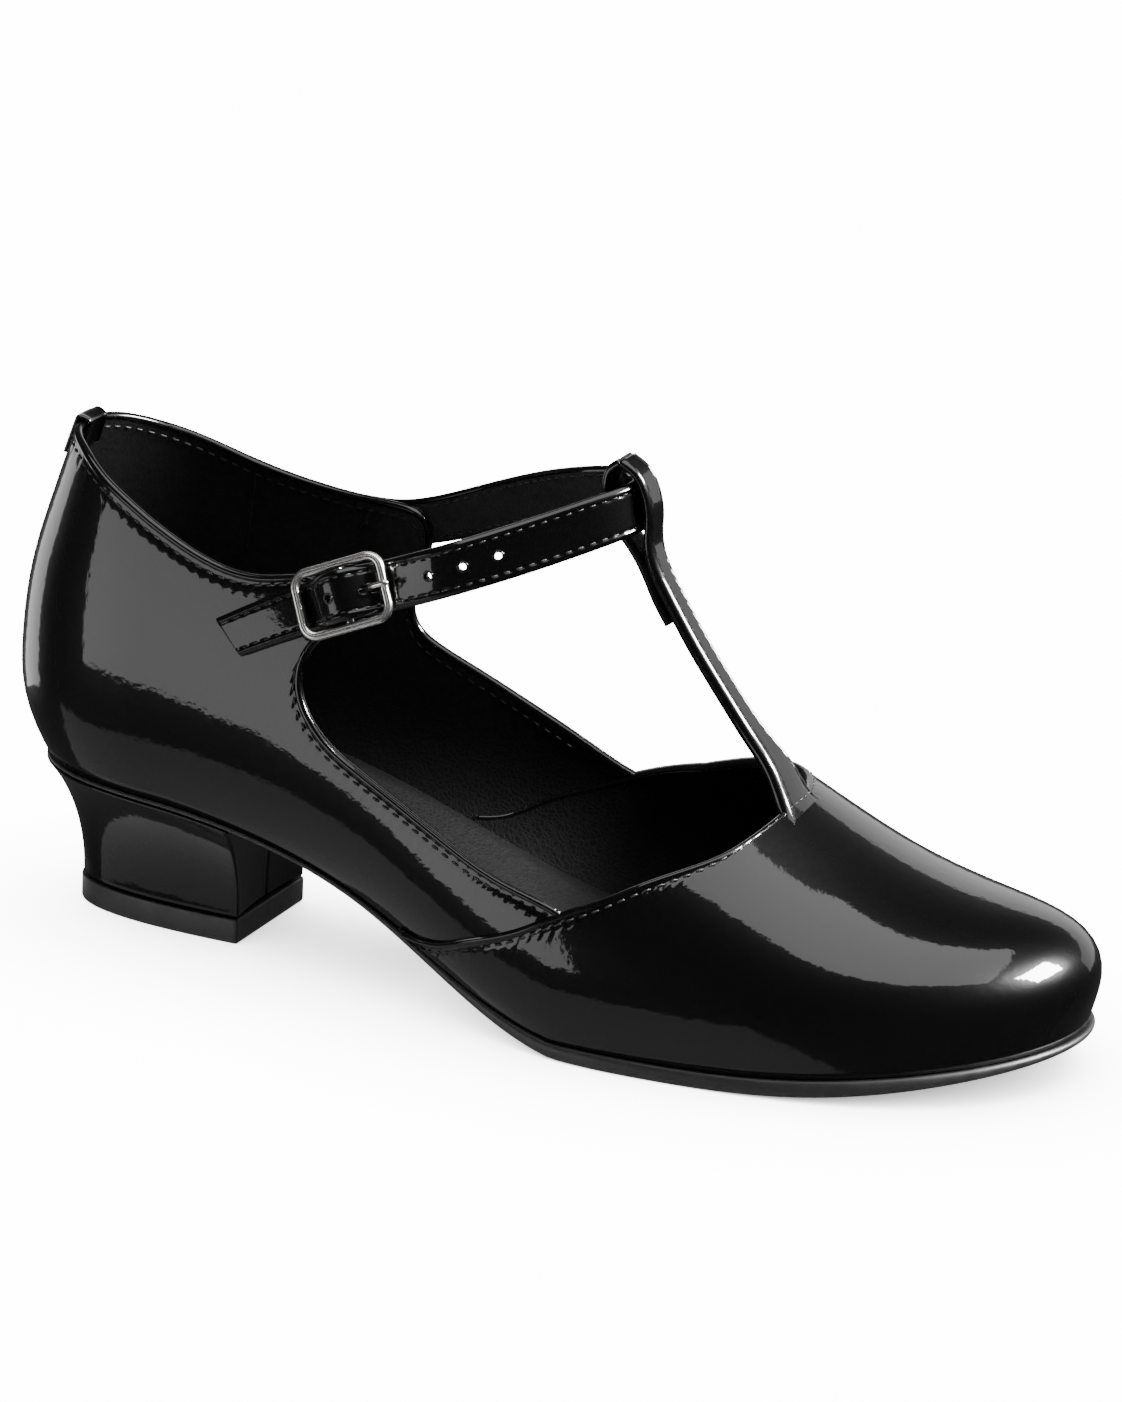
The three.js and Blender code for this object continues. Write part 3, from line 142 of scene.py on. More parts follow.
# Stations are shares of LAST_LENGTH; the columns are shares as in the solids
LAST_TABLE = table(
    "station breadth centre lean rise spring crown widest tuck ridge",
    (0.0, 0.7, 0.0, 0.0, 1.0, 0.0, 1.95, 0.22, 0.88, 1.3),
    (0.12, 0.72, 0.0, 0.0, 0.99, 0.0, 1.95, 0.22, 0.87, 1.3),
    (0.25, 0.74, -0.01, 0.01, 0.88, 0.0, 1.85, 0.22, 0.84, 1.4),
    (0.38, 0.78, -0.04, 0.04, 0.6, 0.0, 1.65, 0.24, 0.81, 1.6),
    (0.5, 0.91, -0.06, 0.06, 0.21, 0.0, 1.33, 0.26, 0.85, 2.0),
    (0.6, 1.0, -0.045, 0.06, -0.01, 0.0, 1.06, 0.28, 0.92, 2.4),
    (0.7, 1.02, -0.015, 0.03, -0.01, 0.0, 0.83, 0.28, 0.95, 2.8),
    (0.8, 1.0, 0.01, 0.01, 0.0, 0.14, 0.6, 0.3, 0.96, 3.2),
    (0.9, 0.97, 0.03, 0.0, 0.0, 0.52, 0.485, 0.33, 0.96, 3.4),
    (1.0, 0.92, 0.05, 0.0, 0.0, 1.0, 0.49, 0.36, 0.97, 3.4),
)
HEEL_TABLE = table(
    "height setback",
    (-0.3, 1.75), (0.0, 0.62), (0.2, 0.05), (0.45, -0.05),
    (0.75, 0.18), (1.0, 0.6), (1.35, 1.27), (1.7, 2.03),
)
QUARTER_TOP = {
    -1: table(
        "along height foot",
        (0.0, 1.0, 0.0), (0.035, 0.997, 0.03), (0.067, 0.978, 0.055), (0.099, 0.934, 0.08),
        (0.138, 0.88, 0.105), (0.176, 0.827, 0.126), (0.218, 0.786, 0.145), (0.253, 0.779, 0.155),
        (0.277, 0.795, 0.162), (0.301, 0.826, 0.17), (0.325, 0.848, 0.178), (0.34, 0.836, 0.185),
        (0.346, 0.8, 0.192), (0.342, 0.75, 0.201), (0.333, 0.702, 0.213), (0.3235, 0.645, 0.228),
        (0.32, 0.584, 0.245), (0.324, 0.52, 0.265), (0.336, 0.469, 0.285), (0.354, 0.434, 0.303),
        (0.387, 0.415, 0.34), (0.463, 0.409, 0.4), (0.537, 0.4, 0.455), (0.589, 0.392, 0.49),
        (0.612, 0.37, 0.5),
    ),
    1: table(
        "along height foot",
        (0.0, 1.0, 0.0), (0.035, 0.985, 0.03), (0.07, 0.95, 0.06), (0.098, 0.918, 0.078),
        (0.145, 0.868, 0.11), (0.205, 0.842, 0.145), (0.267, 0.856, 0.17), (0.31, 0.886, 0.182),
        (0.328, 0.886, 0.19), (0.335, 0.865, 0.196), (0.335, 0.81, 0.204), (0.329, 0.74, 0.215),
        (0.321, 0.67, 0.228), (0.314, 0.6, 0.243), (0.313, 0.545, 0.256), (0.32, 0.502, 0.27),
        (0.34, 0.475, 0.29), (0.375, 0.463, 0.322), (0.427, 0.45, 0.365), (0.48, 0.43, 0.405),
        (0.522, 0.404, 0.435), (0.56, 0.38, 0.455), (0.575, 0.36, 0.46),
    ),
}
VAMP_EDGE = {
    -1: table(
        "along angle",
        (0.432, -15.5), (0.449, -11.5), (0.472, -5.6), (0.511, 6.2), (0.56, 18.1), (0.589, 25.0),
        (0.627, 31.2), (0.658, 37.4), (0.688, 44.0), (0.712, 52.1), (0.725, 62.8), (0.731, 75.0),
        (0.733, 90.0),
    ),
    1: table(
        "along angle",
        (0.39, -13.5), (0.41, -8.0), (0.453, 9.0), (0.49, 19.5), (0.522, 27.0), (0.55, 32.0),
        (0.58, 36.0), (0.615, 40.0), (0.648, 45.0), (0.68, 51.5), (0.71, 61.0), (0.727, 74.0),
        (0.733, 90.0),
    ),
}
SOLE_TABLE = table(
    "station thickness edge",
    (0.0, 0.33, 0.56), (0.25, 0.33, 0.56), (0.4, 0.45, 0.6), (0.5, 0.7, 0.75),
    (0.6, 0.95, 0.95), (0.7, 1.0, 1.0), (0.85, 1.0, 1.0), (1.0, 0.5, 0.95),
)
STRAP_TAIL = (0.2525, 0.594)
STRAP_LEAVES = (0.385, 0.915)
BUCKLE_PLACE = 0.772
STRAP_FREE = table(
    "forward across level turn",
    (0.4309, -0.331, 0.8135, -68), (0.4866, -0.269, 0.8865, -62), (0.531, -0.181, 0.946, -50),
    (0.5665, -0.081, 0.9946, -25), (0.576, 0.006, 1.0108, 3), (0.557, 0.0845, 1.012, 45),
    (0.5122, 0.131, 0.983, 62), (0.4593, 0.2125, 0.919, 68), (0.3984, 0.285, 0.832, 76),
)
STRAP_APEX_ROW = 4
STRAP_LEAN = 12.0
STRAP_END = table("along height", (0.33, 0.85), (0.3, 0.8), (0.262, 0.765))
T_STRAP_RISE = table(
    "run rise width thickness bow",
    (0.085, 0.13, 1.45, 0.9, 0.0), (0.236, 0.236, 1.13, 1.0, 0.0), (0.433, 0.387, 1.02, 1.0, 0.0),
    (0.609, 0.533, 1.0, 1.0, 0.0), (0.768, 0.682, 1.0, 1.0, 0.0), (0.891, 0.826, 1.0, 0.9, 0.0),
)
T_STRAP_BASE = table(
    "along width thickness bow top",
    (0.752, 2.7, 0.5, 0.0, -1.3), (0.745, 2.5, 0.55, 0.0, -0.4), (0.738, 2.15, 0.7, 0.0, 0.25),
)
T_STRAP_LOOP = table(
    "forward up width thickness",
    (0.318, -0.536, 1.0, 0.6), (0.318, -0.21, 1.0, 0.6), (0.209, 0.291, 1.0, 0.6),
    (-0.017, 0.655, 1.0, 0.6), (-0.309, 0.827, 1.0, 0.6), (-0.517, 0.655, 1.0, 0.6),
    (-0.582, 0.236, 1.0, 0.6), (-0.44, -0.3, 1.0, 0.6), (-0.13, -0.66, 1.0, 0.65),
)
T_STRAP_LOOP_TOP_ROW = 4
T_STRAP_FOLD = table("share thickness", (0.95, 0.67), (0.84, 0.67), (0.73, 0.6))
FOLD_GRIP = 0.15
PRONG_PATH = table(
    "along out girth",
    (0.13, 0.03, 0.9), (0.3, -0.015, 1.0), (0.41, 0.04, 1.0), (0.59, 0.6, 1.0),
    (0.69, 0.88, 1.0), (0.8, 0.99, 1.0), (0.96, 1.0, 0.95), (1.0, 1.0, 0.6),
)

HEEL_FAN = 0.1615 * LAST_LENGTH
TOE_FAN = 0.86 * LAST_LENGTH
HEEL_ROUND_START = 0.17
TOE_ROUND_START = 0.7
HEEL_ROUNDNESS = 2.3
TOE_ROUNDNESS = 2.7
AXIS_RISE = 10.0
AXIS_LEAN = 0.3
HEEL_TAPER = 2.2
LIFT_SQUARENESS = 2.6
DEGREE_SPAN = 0.6
FAR_OUT = 60.0
SHIFT = LIFT_BACK + LIFT_LENGTH / 2


# Soft boxes: direction in degrees round and up from their target, distance, size and radiance
SOFT_BOXES = {
    "top_box": (-60.0, 84.0, 1.05, (1.1, 1.05), 3.0),
    "toe_box": (17.0, 42.0, 1.0, (0.46, 0.36), 240.0),
    "side_box": (-127.0, -4.5, 1.0, (0.78, 0.44), 2.3),
    "back_box": (90.0, 9.0, 1.6, (2.6, 0.7), 0.9),
    "rim_box": (160.0, -8.0, 1.0, (0.45, 0.5), 1.8),
    "low_box": (-126.0, -50.0, 0.5, (0.8, 0.42), 0.36),
}
BOX_TARGETS = {"toe_box": (0.2, 0.0, 0.03), "side_box": (0.01, -0.035, 0.065), "rim_box": (-0.03, -0.02, 0.06)}
FLOOR_HALF = 2.5
# Reach of the painted contact shadow: ambient occlusion darkens the floor's glow within this distance of the shoe
FLOOR_SHADE_REACH = 0.05


class ShoeStage(PropertyGroup):
    floor_color: FloatVectorProperty(
        name="Floor colour", description="Colour of the plain floor", subtype="COLOR",
        size=3, min=0.0, max=1.0, default=(0.93, 0.93, 0.93))
    floor_glow: FloatProperty(
        name="Floor glow", description="Own light of the white floor", min=0.0, default=11.0)
    sky: FloatProperty(
        name="Sky", description="Strength of the broad light that whitens the floor", min=0.0, default=14.0)
    boxes: FloatProperty(
        name="Soft boxes", description="Share of the soft boxes' full power", subtype="FACTOR",
        min=0.0, soft_max=2.0, default=1.0)
    fill: FloatProperty(
        name="Fill", description="Strength of the even grey surroundings", min=0.0, default=0.05)


class ShoeFinish(PropertyGroup):
    patent_color: FloatVectorProperty(
        name="Patent colour", description="Colour under the gloss of the patent leather",
        subtype="COLOR", size=3, min=0.0, max=1.0, default=(0.0003, 0.0003, 0.00035))
    patent_roughness: FloatProperty(
        name="Patent roughness", description="Roughness of the glossy coat", subtype="FACTOR",
        min=0.0, max=1.0, default=0.03)
    lining_color: FloatVectorProperty(
        name="Lining colour", description="Colour of the lining and the insole", subtype="COLOR",
        size=3, min=0.0, max=1.0, default=(0.003, 0.003, 0.0032))
    metal_color: FloatVectorProperty(
        name="Buckle colour", description="Colour of the nickel buckle", subtype="COLOR",
        size=3, min=0.0, max=1.0, default=(0.97, 0.95, 0.92))


# Curves through short tables
def spline(xs, ys):
    """Natural cubic spline through rows ys at xs, straight beyond its ends."""
    xs, ys = np.asarray(xs, float), np.asarray(ys, float)
    step = np.diff(xs)
    slope = np.diff(ys, axis=0) / step[:, None]
    bend = np.zeros_like(ys)
    if len(xs) > 2:
        matrix = np.diag(2 * (step[:-1] + step[1:])) + np.diag(step[1:-1], 1) + np.diag(step[1:-1], -1)
        bend[1:-1] = np.linalg.solve(matrix, 6 * np.diff(slope, axis=0))
    start = slope[0] - step[0] * bend[1] / 6
    end = slope[-1] + step[-1] * bend[-2] / 6

    def value(x):
        x = np.asarray(x, float)
        inside = np.clip(x, xs[0], xs[-1])
        k = np.clip(np.searchsorted(xs, inside) - 1, 0, len(xs) - 2)
        h = step[k][..., None]
        a, b = (xs[k + 1] - inside)[..., None], (inside - xs[k])[..., None]
        curve = (bend[k] * a ** 3 + bend[k + 1] * b ** 3) / (6 * h)
        curve += (ys[k] / h - bend[k] * h / 6) * a + (ys[k + 1] / h - bend[k + 1] * h / 6) * b
        curve += np.minimum(x - xs[0], 0)[..., None] * start
        return curve + np.maximum(x - xs[-1], 0)[..., None] * end
    return value


def columns(rows):
    """Splines of the named columns of a table against its first column."""
    names = list(rows)
    curve = spline(rows[names[0]], np.stack([rows[name] for name in names[1:]], -1))
    return lambda x: dict(zip(names[1:], np.moveaxis(curve(x), -1, 0)))


def route(rows, **scale):
    """Curve through a table, run by its length in the scaled columns; value takes a share."""
    names = list(rows)
    moves = np.stack([np.diff(rows[name]) * size for name, size in scale.items()], -1)
    at = np.concatenate([[0], np.cumsum(np.linalg.norm(moves, axis=-1))])
    curve = spline(at, np.stack([rows[name] for name in names], -1))
    value = lambda share: dict(zip(names, np.moveaxis(curve(np.asarray(share) * at[-1]), -1, 0)))
    return value, at


LAST = columns(LAST_TABLE)
HEEL_BACK = columns(HEEL_TABLE)
SOLE = columns(SOLE_TABLE)


# The last
def unit(v):
    return v / np.maximum(np.linalg.norm(v, axis=-1, keepdims=True), 1e-12)


def seat(x):
    """Height of the feather line: sole thickness plus heel rise and toe spring."""
    row = LAST(x / LAST_LENGTH)
    return SOLE_THICKNESS + HEEL_RISE * np.maximum(row["rise"], 0) + TOE_SPRING * np.maximum(row["spring"], 0)


def field(p):
    """Below 0 inside the last: squared share across, less the section's own, plus the toe's end."""
    x, y, z = np.moveaxis(p, -1, 0)
    station = x / LAST_LENGTH
    row = LAST(station)
    lift = z - seat(x)
    height = lift / (INSTEP_HEIGHT * row["crown"])
    middle = BALL_BREADTH * (row["centre"] + row["lean"] * height)
    across = (y - middle) / (BALL_BREADTH * row["breadth"] / 2)
    widest, room = row["widest"], 1 - row["widest"]
    low = (row["tuck"] ** 2 - (1 / room - widest / room ** 2)) / widest ** 2
    high = (row["ridge"] - 2 / room) / room ** 2
    tangent = 1 / room + (height - widest) / room ** 2
    shape = (1 - height) * (tangent + (height - widest) ** 2 * (low + (high - low) * height))
    back = HEEL_SETBACK * HEEL_BACK(lift / COUNTER_HEIGHT)["setback"] / LAST_LENGTH
    heel = np.maximum(0, (HEEL_ROUND_START - station) / (HEEL_ROUND_START - back)) ** HEEL_ROUNDNESS
    toe = np.maximum(0, (station - TOE_ROUND_START) / (1 - TOE_ROUND_START)) ** TOE_ROUNDNESS
    return across ** 2 - shape * (1 - heel) + toe


def normals_at(p):
    """Outward unit normals of the last from central differences of its field."""
    e = 0.05 * np.eye(3)
    return unit(np.stack([field(p + e[i]) - field(p - e[i]) for i in range(3)], -1))


def axis_at(along):
    """Point on the last's axis for a station, and the level direction that fans round heel and toe."""
    x0 = np.clip(along, HEEL_FAN, TOE_FAN)
    turn = np.where(along < HEEL_FAN, 180 - 90 * along / HEEL_FAN, 90.0)
    turn = np.where(along > TOE_FAN, 90 - 90 * (along - TOE_FAN) / (LAST_LENGTH - TOE_FAN), turn)
    row = LAST(x0 / LAST_LENGTH)
    y0 = BALL_BREADTH * (row["centre"] + AXIS_LEAN * row["lean"])
    return np.stack([x0, y0, seat(x0) + AXIS_RISE], -1), np.radians(turn)


def at_height(along, height, side):
    """Points of the last at a height above the feather line, found by halving along the level."""
    along, height, side = np.broadcast_arrays(np.asarray(along, float), height, side)
    origin, turn = axis_at(along)
    way = np.stack([np.cos(turn), side * np.sin(turn)], -1)

    def point(r):
        xy = origin[..., :2] + way * r[..., None]
        return np.concatenate([xy, (seat(xy[..., 0]) + height)[..., None]], -1)
    near, far = np.zeros(along.shape), np.full(along.shape, FAR_OUT)
    for _ in range(30):
        middle = (near + far) / 2
        outside = field(point(middle)) > 0
        near, far = np.where(outside, near, middle), np.where(outside, middle, far)
    return point(far)


def cast(along, angle, side):
    """Points of the last seen from its axis at an angle: first crossing of a ray, then halving."""
    along, angle, side = np.broadcast_arrays(np.asarray(along, float), angle, side)
    origin, turn = axis_at(along)
    slope = np.radians(angle)
    way = np.stack([np.cos(turn) * np.cos(slope), side * np.sin(turn) * np.cos(slope), np.sin(slope)], -1)
    point = lambda t: origin + way * t[..., None]
    steps = np.arange(2.5, FAR_OUT + 30, 2.5)
    outside = np.stack([field(point(np.full(along.shape, t))) > 0 for t in steps], -1)
    far = steps[np.argmax(outside, -1)]
    near = far - 2.5
    for _ in range(26):
        middle = (near + far) / 2
        out = field(point(middle)) > 0
        near, far = np.where(out, near, middle), np.where(out, middle, far)
    return point(far)


def angle_at_feather(along, side):
    """Angle round the axis at which the last stands a gap above the feather line."""
    p = at_height(along, GAP, side)
    origin, _ = axis_at(np.asarray(along, float))
    reach = np.linalg.norm(p[..., :2] - origin[..., :2], axis=-1)
    return np.degrees(np.arctan2(p[..., 2] - origin[..., 2], reach))


def off_last(p, distance):
    """Points moved out by a distance: along the normal, but level near the feather line."""
    normal = normals_at(p)
    level = unit(normal * (1.0, 1.0, 0.0))
    share = np.clip((p[..., 2] - seat(p[..., 0])) / 5.0, 0, 1)[..., None]
    share = share * share * (3 - 2 * share)
    distance = np.asarray(distance, float)
    if distance.ndim:
        distance = distance[..., None]
    moved = p + distance * (share * normal + (1 - share) * level)
    moved[..., 2] += (1 - share[..., 0]) * (seat(moved[..., 0]) - seat(p[..., 0]))
    return moved


def feather_point(along, side, distance):
    """Outline that follows the feather line at a level distance."""
    p = at_height(along, GAP, side)
    level = unit(normals_at(p) * (1.0, 1.0, 0.0))
    return p + np.asarray(distance)[..., None] * level


# Meshes
def quads(u_count, v_count, wrap_u=False, wrap_v=False, flip=False):
    """Corner numbers of a grid's faces."""
    u = np.arange(u_count if wrap_u else u_count - 1)
    v = np.arange(v_count if wrap_v else v_count - 1)
    u, v = np.meshgrid(u, v, indexing="ij")
    u1, v1 = (u + 1) % u_count, (v + 1) % v_count
    corner = lambda a, b: (a * v_count + b).ravel()
    faces = np.stack([corner(u, v), corner(u1, v), corner(u1, v1), corner(u, v1)], -1)
    return faces[:, ::-1] if flip else faces


def build(name, grids, materials, replaces=(), weld=0.0004):
    """One closed mesh from grids, each (points, wrap_u, wrap_v, material number or array)."""
    points, faces, marks, first = [], [], [], 0
    for grid, wrap_u, wrap_v, mark in grids:
        u_count, v_count = grid.shape[:2]
        part = quads(u_count, v_count, wrap_u, wrap_v)
        points.append(grid.reshape(-1, 3))
        faces.append(part + first)
        marks.append(np.broadcast_to(mark, (len(part),)))
        first += u_count * v_count
    points, faces, marks = np.concatenate(points), np.concatenate(faces), np.concatenate(marks)
    mesh = bpy.data.meshes.new(name)
    metres = (points - (SHIFT, 0.0, 0.0)) / 1000
    mesh.vertices.add(len(metres))
    mesh.vertices.foreach_set("co", metres.ravel())
    mesh.loops.add(faces.size)
    mesh.loops.foreach_set("vertex_index", faces.ravel())
    mesh.polygons.add(len(faces))
    mesh.polygons.foreach_set("loop_start", np.arange(0, faces.size, 4))
    mesh.polygons.foreach_set("material_index", marks.astype(np.int32))
    mesh.update(calc_edges=True)
    mesh.validate()
    closing = bmesh.new()
    closing.from_mesh(mesh)
    bmesh.ops.remove_doubles(closing, verts=closing.verts, dist=weld / 1000)
    bmesh.ops.dissolve_degenerate(closing, edges=closing.edges, dist=1e-8)
    edges = [edge for edge in closing.edges if edge.is_boundary]
    if edges:
        bmesh.ops.holes_fill(closing, edges=edges, sides=0)
    bmesh.ops.recalc_face_normals(closing, faces=closing.faces)
    closing.to_mesh(mesh)
    closing.free()
    mesh.polygons.foreach_set("use_smooth", np.ones(len(mesh.polygons), bool))
    for material in materials:
        mesh.materials.append(bpy.data.materials[material])
    mesh.update()
    piece = add_object(name, mesh)
    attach(piece, "root")
    for node in replaces:
        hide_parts(node)
    return piece


def tube_grid(path, normal, across, up, sides=14, caps=True):
    """Closed section of two radii, across along the normal and up beside it, carried on a path."""
    tangent = unit(np.gradient(path, axis=0))
    normal = unit(normal - tangent * np.sum(normal * tangent, -1, keepdims=True))
    beside = np.cross(tangent, normal)
    turn = np.linspace(0, 2 * np.pi, sides, endpoint=False)
    across = np.broadcast_to(across, (len(path),))[:, None, None]
    up = np.broadcast_to(up, (len(path),))[:, None, None]
    ring = np.cos(turn)[None, :, None] * normal[:, None] * across
    ring = ring + np.sin(turn)[None, :, None] * beside[:, None] * up
    grid = path[:, None] + ring
    if caps:
        grid = np.concatenate([np.repeat(path[:1, None], sides, 1), grid, np.repeat(path[-1:, None], sides, 1)])
    return grid


def resample(points, pitch, *others):
    """Even steps along a polyline, with other rows carried along."""
    at = np.concatenate([[0], np.cumsum(np.linalg.norm(np.diff(points, axis=0), axis=-1))])
    count = max(2, int(round(at[-1] / pitch)))
    where = np.linspace(0, at[-1], count + 1)
    take = lambda rows: np.stack([np.interp(where, at, rows[:, i]) for i in range(rows.shape[1])], -1)
    return [take(points), *[take(rows) for rows in others]]


def stitch_grids(path, normal, pitch=STITCH_PITCH, length=STITCH_LENGTH, radius=STITCH_RADIUS, sink=0.35):
    """Short rounded stitches in a row: one small tapered tube for each, dipping at both ends."""
    points, facing = resample(path, pitch, normal)
    middle = (points[1:] + points[:-1]) / 2
    way = unit(points[1:] - points[:-1])
    facing = unit(facing[1:] + facing[:-1])
    side = np.cross(way, facing)
    run = np.array([-0.5, -0.42, -0.2, 0.2, 0.42, 0.5]) * length
    girth = np.array([0.05, 0.75, 1.0, 1.0, 0.75, 0.05]) * radius
    depth = np.array([-1.6, -0.6, 0.0, 0.0, -0.6, -1.6]) * radius + radius * sink
    turn = np.linspace(0, 2 * np.pi, 6, endpoint=False)
    centre = middle[:, None] + way[:, None] * run[None, :, None] + facing[:, None] * depth[None, :, None]
    spoke = side[:, None] * np.cos(turn)[None, :, None] + facing[:, None] * np.sin(turn)[None, :, None]
    grid = centre[:, :, None] + spoke[:, None] * girth[None, :, None, None]
    return [(part, False, True, 0) for part in grid]


def smooth_rows(count, power=1.6):
    """Row shares from 0 to 1, closer together towards the top edge."""
    t = np.linspace(0, 1, count + 1)
    return 1 - (1 - t) ** power


def edge_frame(base, along_u=0):
    """Direction towards the top edge in each column of a sheet, at its last row."""
    return unit(base[:, -1] - base[:, -2])


# Upper
QUARTER_COLUMNS = 300
QUARTER_ROWS = 34
THROAT_COLUMNS = 250
FOREPART_COLUMNS = 18
TOE_COLUMNS = 44
VAMP_ROWS = 46


def quarter_base():
    """Quarter sheet on the last, from the outer end round the back of the heel to the inner end."""
    halves = []
    for side in (-1, 1):
        value, _ = route(QUARTER_TOP[side], along=LAST_LENGTH, height=COLLAR_HEIGHT)
        top = value(np.linspace(0, 1, QUARTER_COLUMNS + 1))
        row = smooth_rows(QUARTER_ROWS)[None]
        foot, along, height = (top[name][:, None] for name in ("foot", "along", "height"))
        station = np.maximum(0, (foot + (along - foot) * row) * LAST_LENGTH)
        halves.append(at_height(station, np.maximum(GAP, height * COLLAR_HEIGHT * row), side))
    return np.concatenate([halves[0][::-1], halves[1][1:]])


def vamp_base():
    """Vamp sheets on the last, outer and inner half, each from its wing's tip to the toe."""
    halves = []
    for side in (-1, 1):
        rows = VAMP_EDGE[side]
        value, _ = route(rows, along=LAST_LENGTH, angle=DEGREE_SPAN)
        share = np.linspace(0, 1, THROAT_COLUMNS + 1)
        edge = value(share)
        tip, peak = rows["along"][0] * LAST_LENGTH, rows["along"][-1] * LAST_LENGTH
        front = np.concatenate([np.linspace(peak, TOE_FAN, FOREPART_COLUMNS + 1)[1:],
                                np.linspace(TOE_FAN, LAST_LENGTH, TOE_COLUMNS + 1)[1:]])
        foot = np.concatenate([tip + (peak - tip) * share, front])
        along = np.concatenate([edge["along"] * LAST_LENGTH, front])
        angle = np.concatenate([edge["angle"], np.full(len(front), 90.0)])
        low = angle_at_feather(foot, side)
        along[0], angle[0] = foot[0], low[0]
        row = smooth_rows(VAMP_ROWS, 1.35)[None]
        station = foot[:, None] + (along - foot)[:, None] * row
        halves.append(cast(station, low[:, None] + (angle - low)[:, None] * row, side))
    return halves


def rim_distance(base):
    """Distance of every point from the top edge down its column, and along the edge."""
    step = np.linalg.norm(np.diff(base, axis=1), axis=-1)
    down = np.concatenate([np.cumsum(step[:, ::-1], 1)[:, ::-1], np.zeros((len(base), 1))], 1)
    move = np.linalg.norm(np.diff(base[:, -1], axis=0), axis=-1)
    along = np.concatenate([[0], np.cumsum(move)])
    return down, along[:, None]


def pucker(down, along, at=EDGE_TO_STITCH, pitch=STITCH_PITCH, depth=PUCKER):
    """Dents that a row of stitches pulls into the leather, with a low swell between row and edge."""
    groove = np.exp(-((down - at) / 0.55) ** 2) * (0.65 + 0.35 * np.cos(2 * np.pi * along / pitch))
    scallop = np.exp(-((down - at - 0.9) / 0.7) ** 2) * np.cos(2 * np.pi * along / pitch) * 0.3
    crease = 0.8 * np.exp(-((down - 2.1 * BEAD) / 0.3) ** 2)
    return -depth * (groove + scallop + crease)


def retract(base, amount):
    """Column tops pulled back from the edge so that the bead closes over them."""
    out = base.copy()
    out[:, -1] = base[:, -1] - edge_frame(base) * amount
    return out


def edge_bead(base, out, across):
    """Path, normals and radii of the bead folded over a top edge."""
    top, up = base[:, -1], edge_frame(base)
    normal = normals_at(top)
    return top + normal * out - up * BEAD, normal, across


def row_on(base, out, down_by, keep):
    """Path on a sheet at a distance below its top edge, with its normals."""
    down, _ = rim_distance(base)
    order = down[:, ::-1]
    pick = np.clip((order < down_by).sum(1), 1, base.shape[1] - 1)
    index = np.arange(len(base))
    a, b = order[index, pick - 1], order[index, pick]
    share = np.clip((down_by - a) / np.maximum(b - a, 1e-9), 0, 1)[:, None]
    flipped = base[:, ::-1]
    path = flipped[index, pick - 1] * (1 - share) + flipped[index, pick] * share
    path = path[keep]
    return path + normals_at(path) * out, normals_at(path)


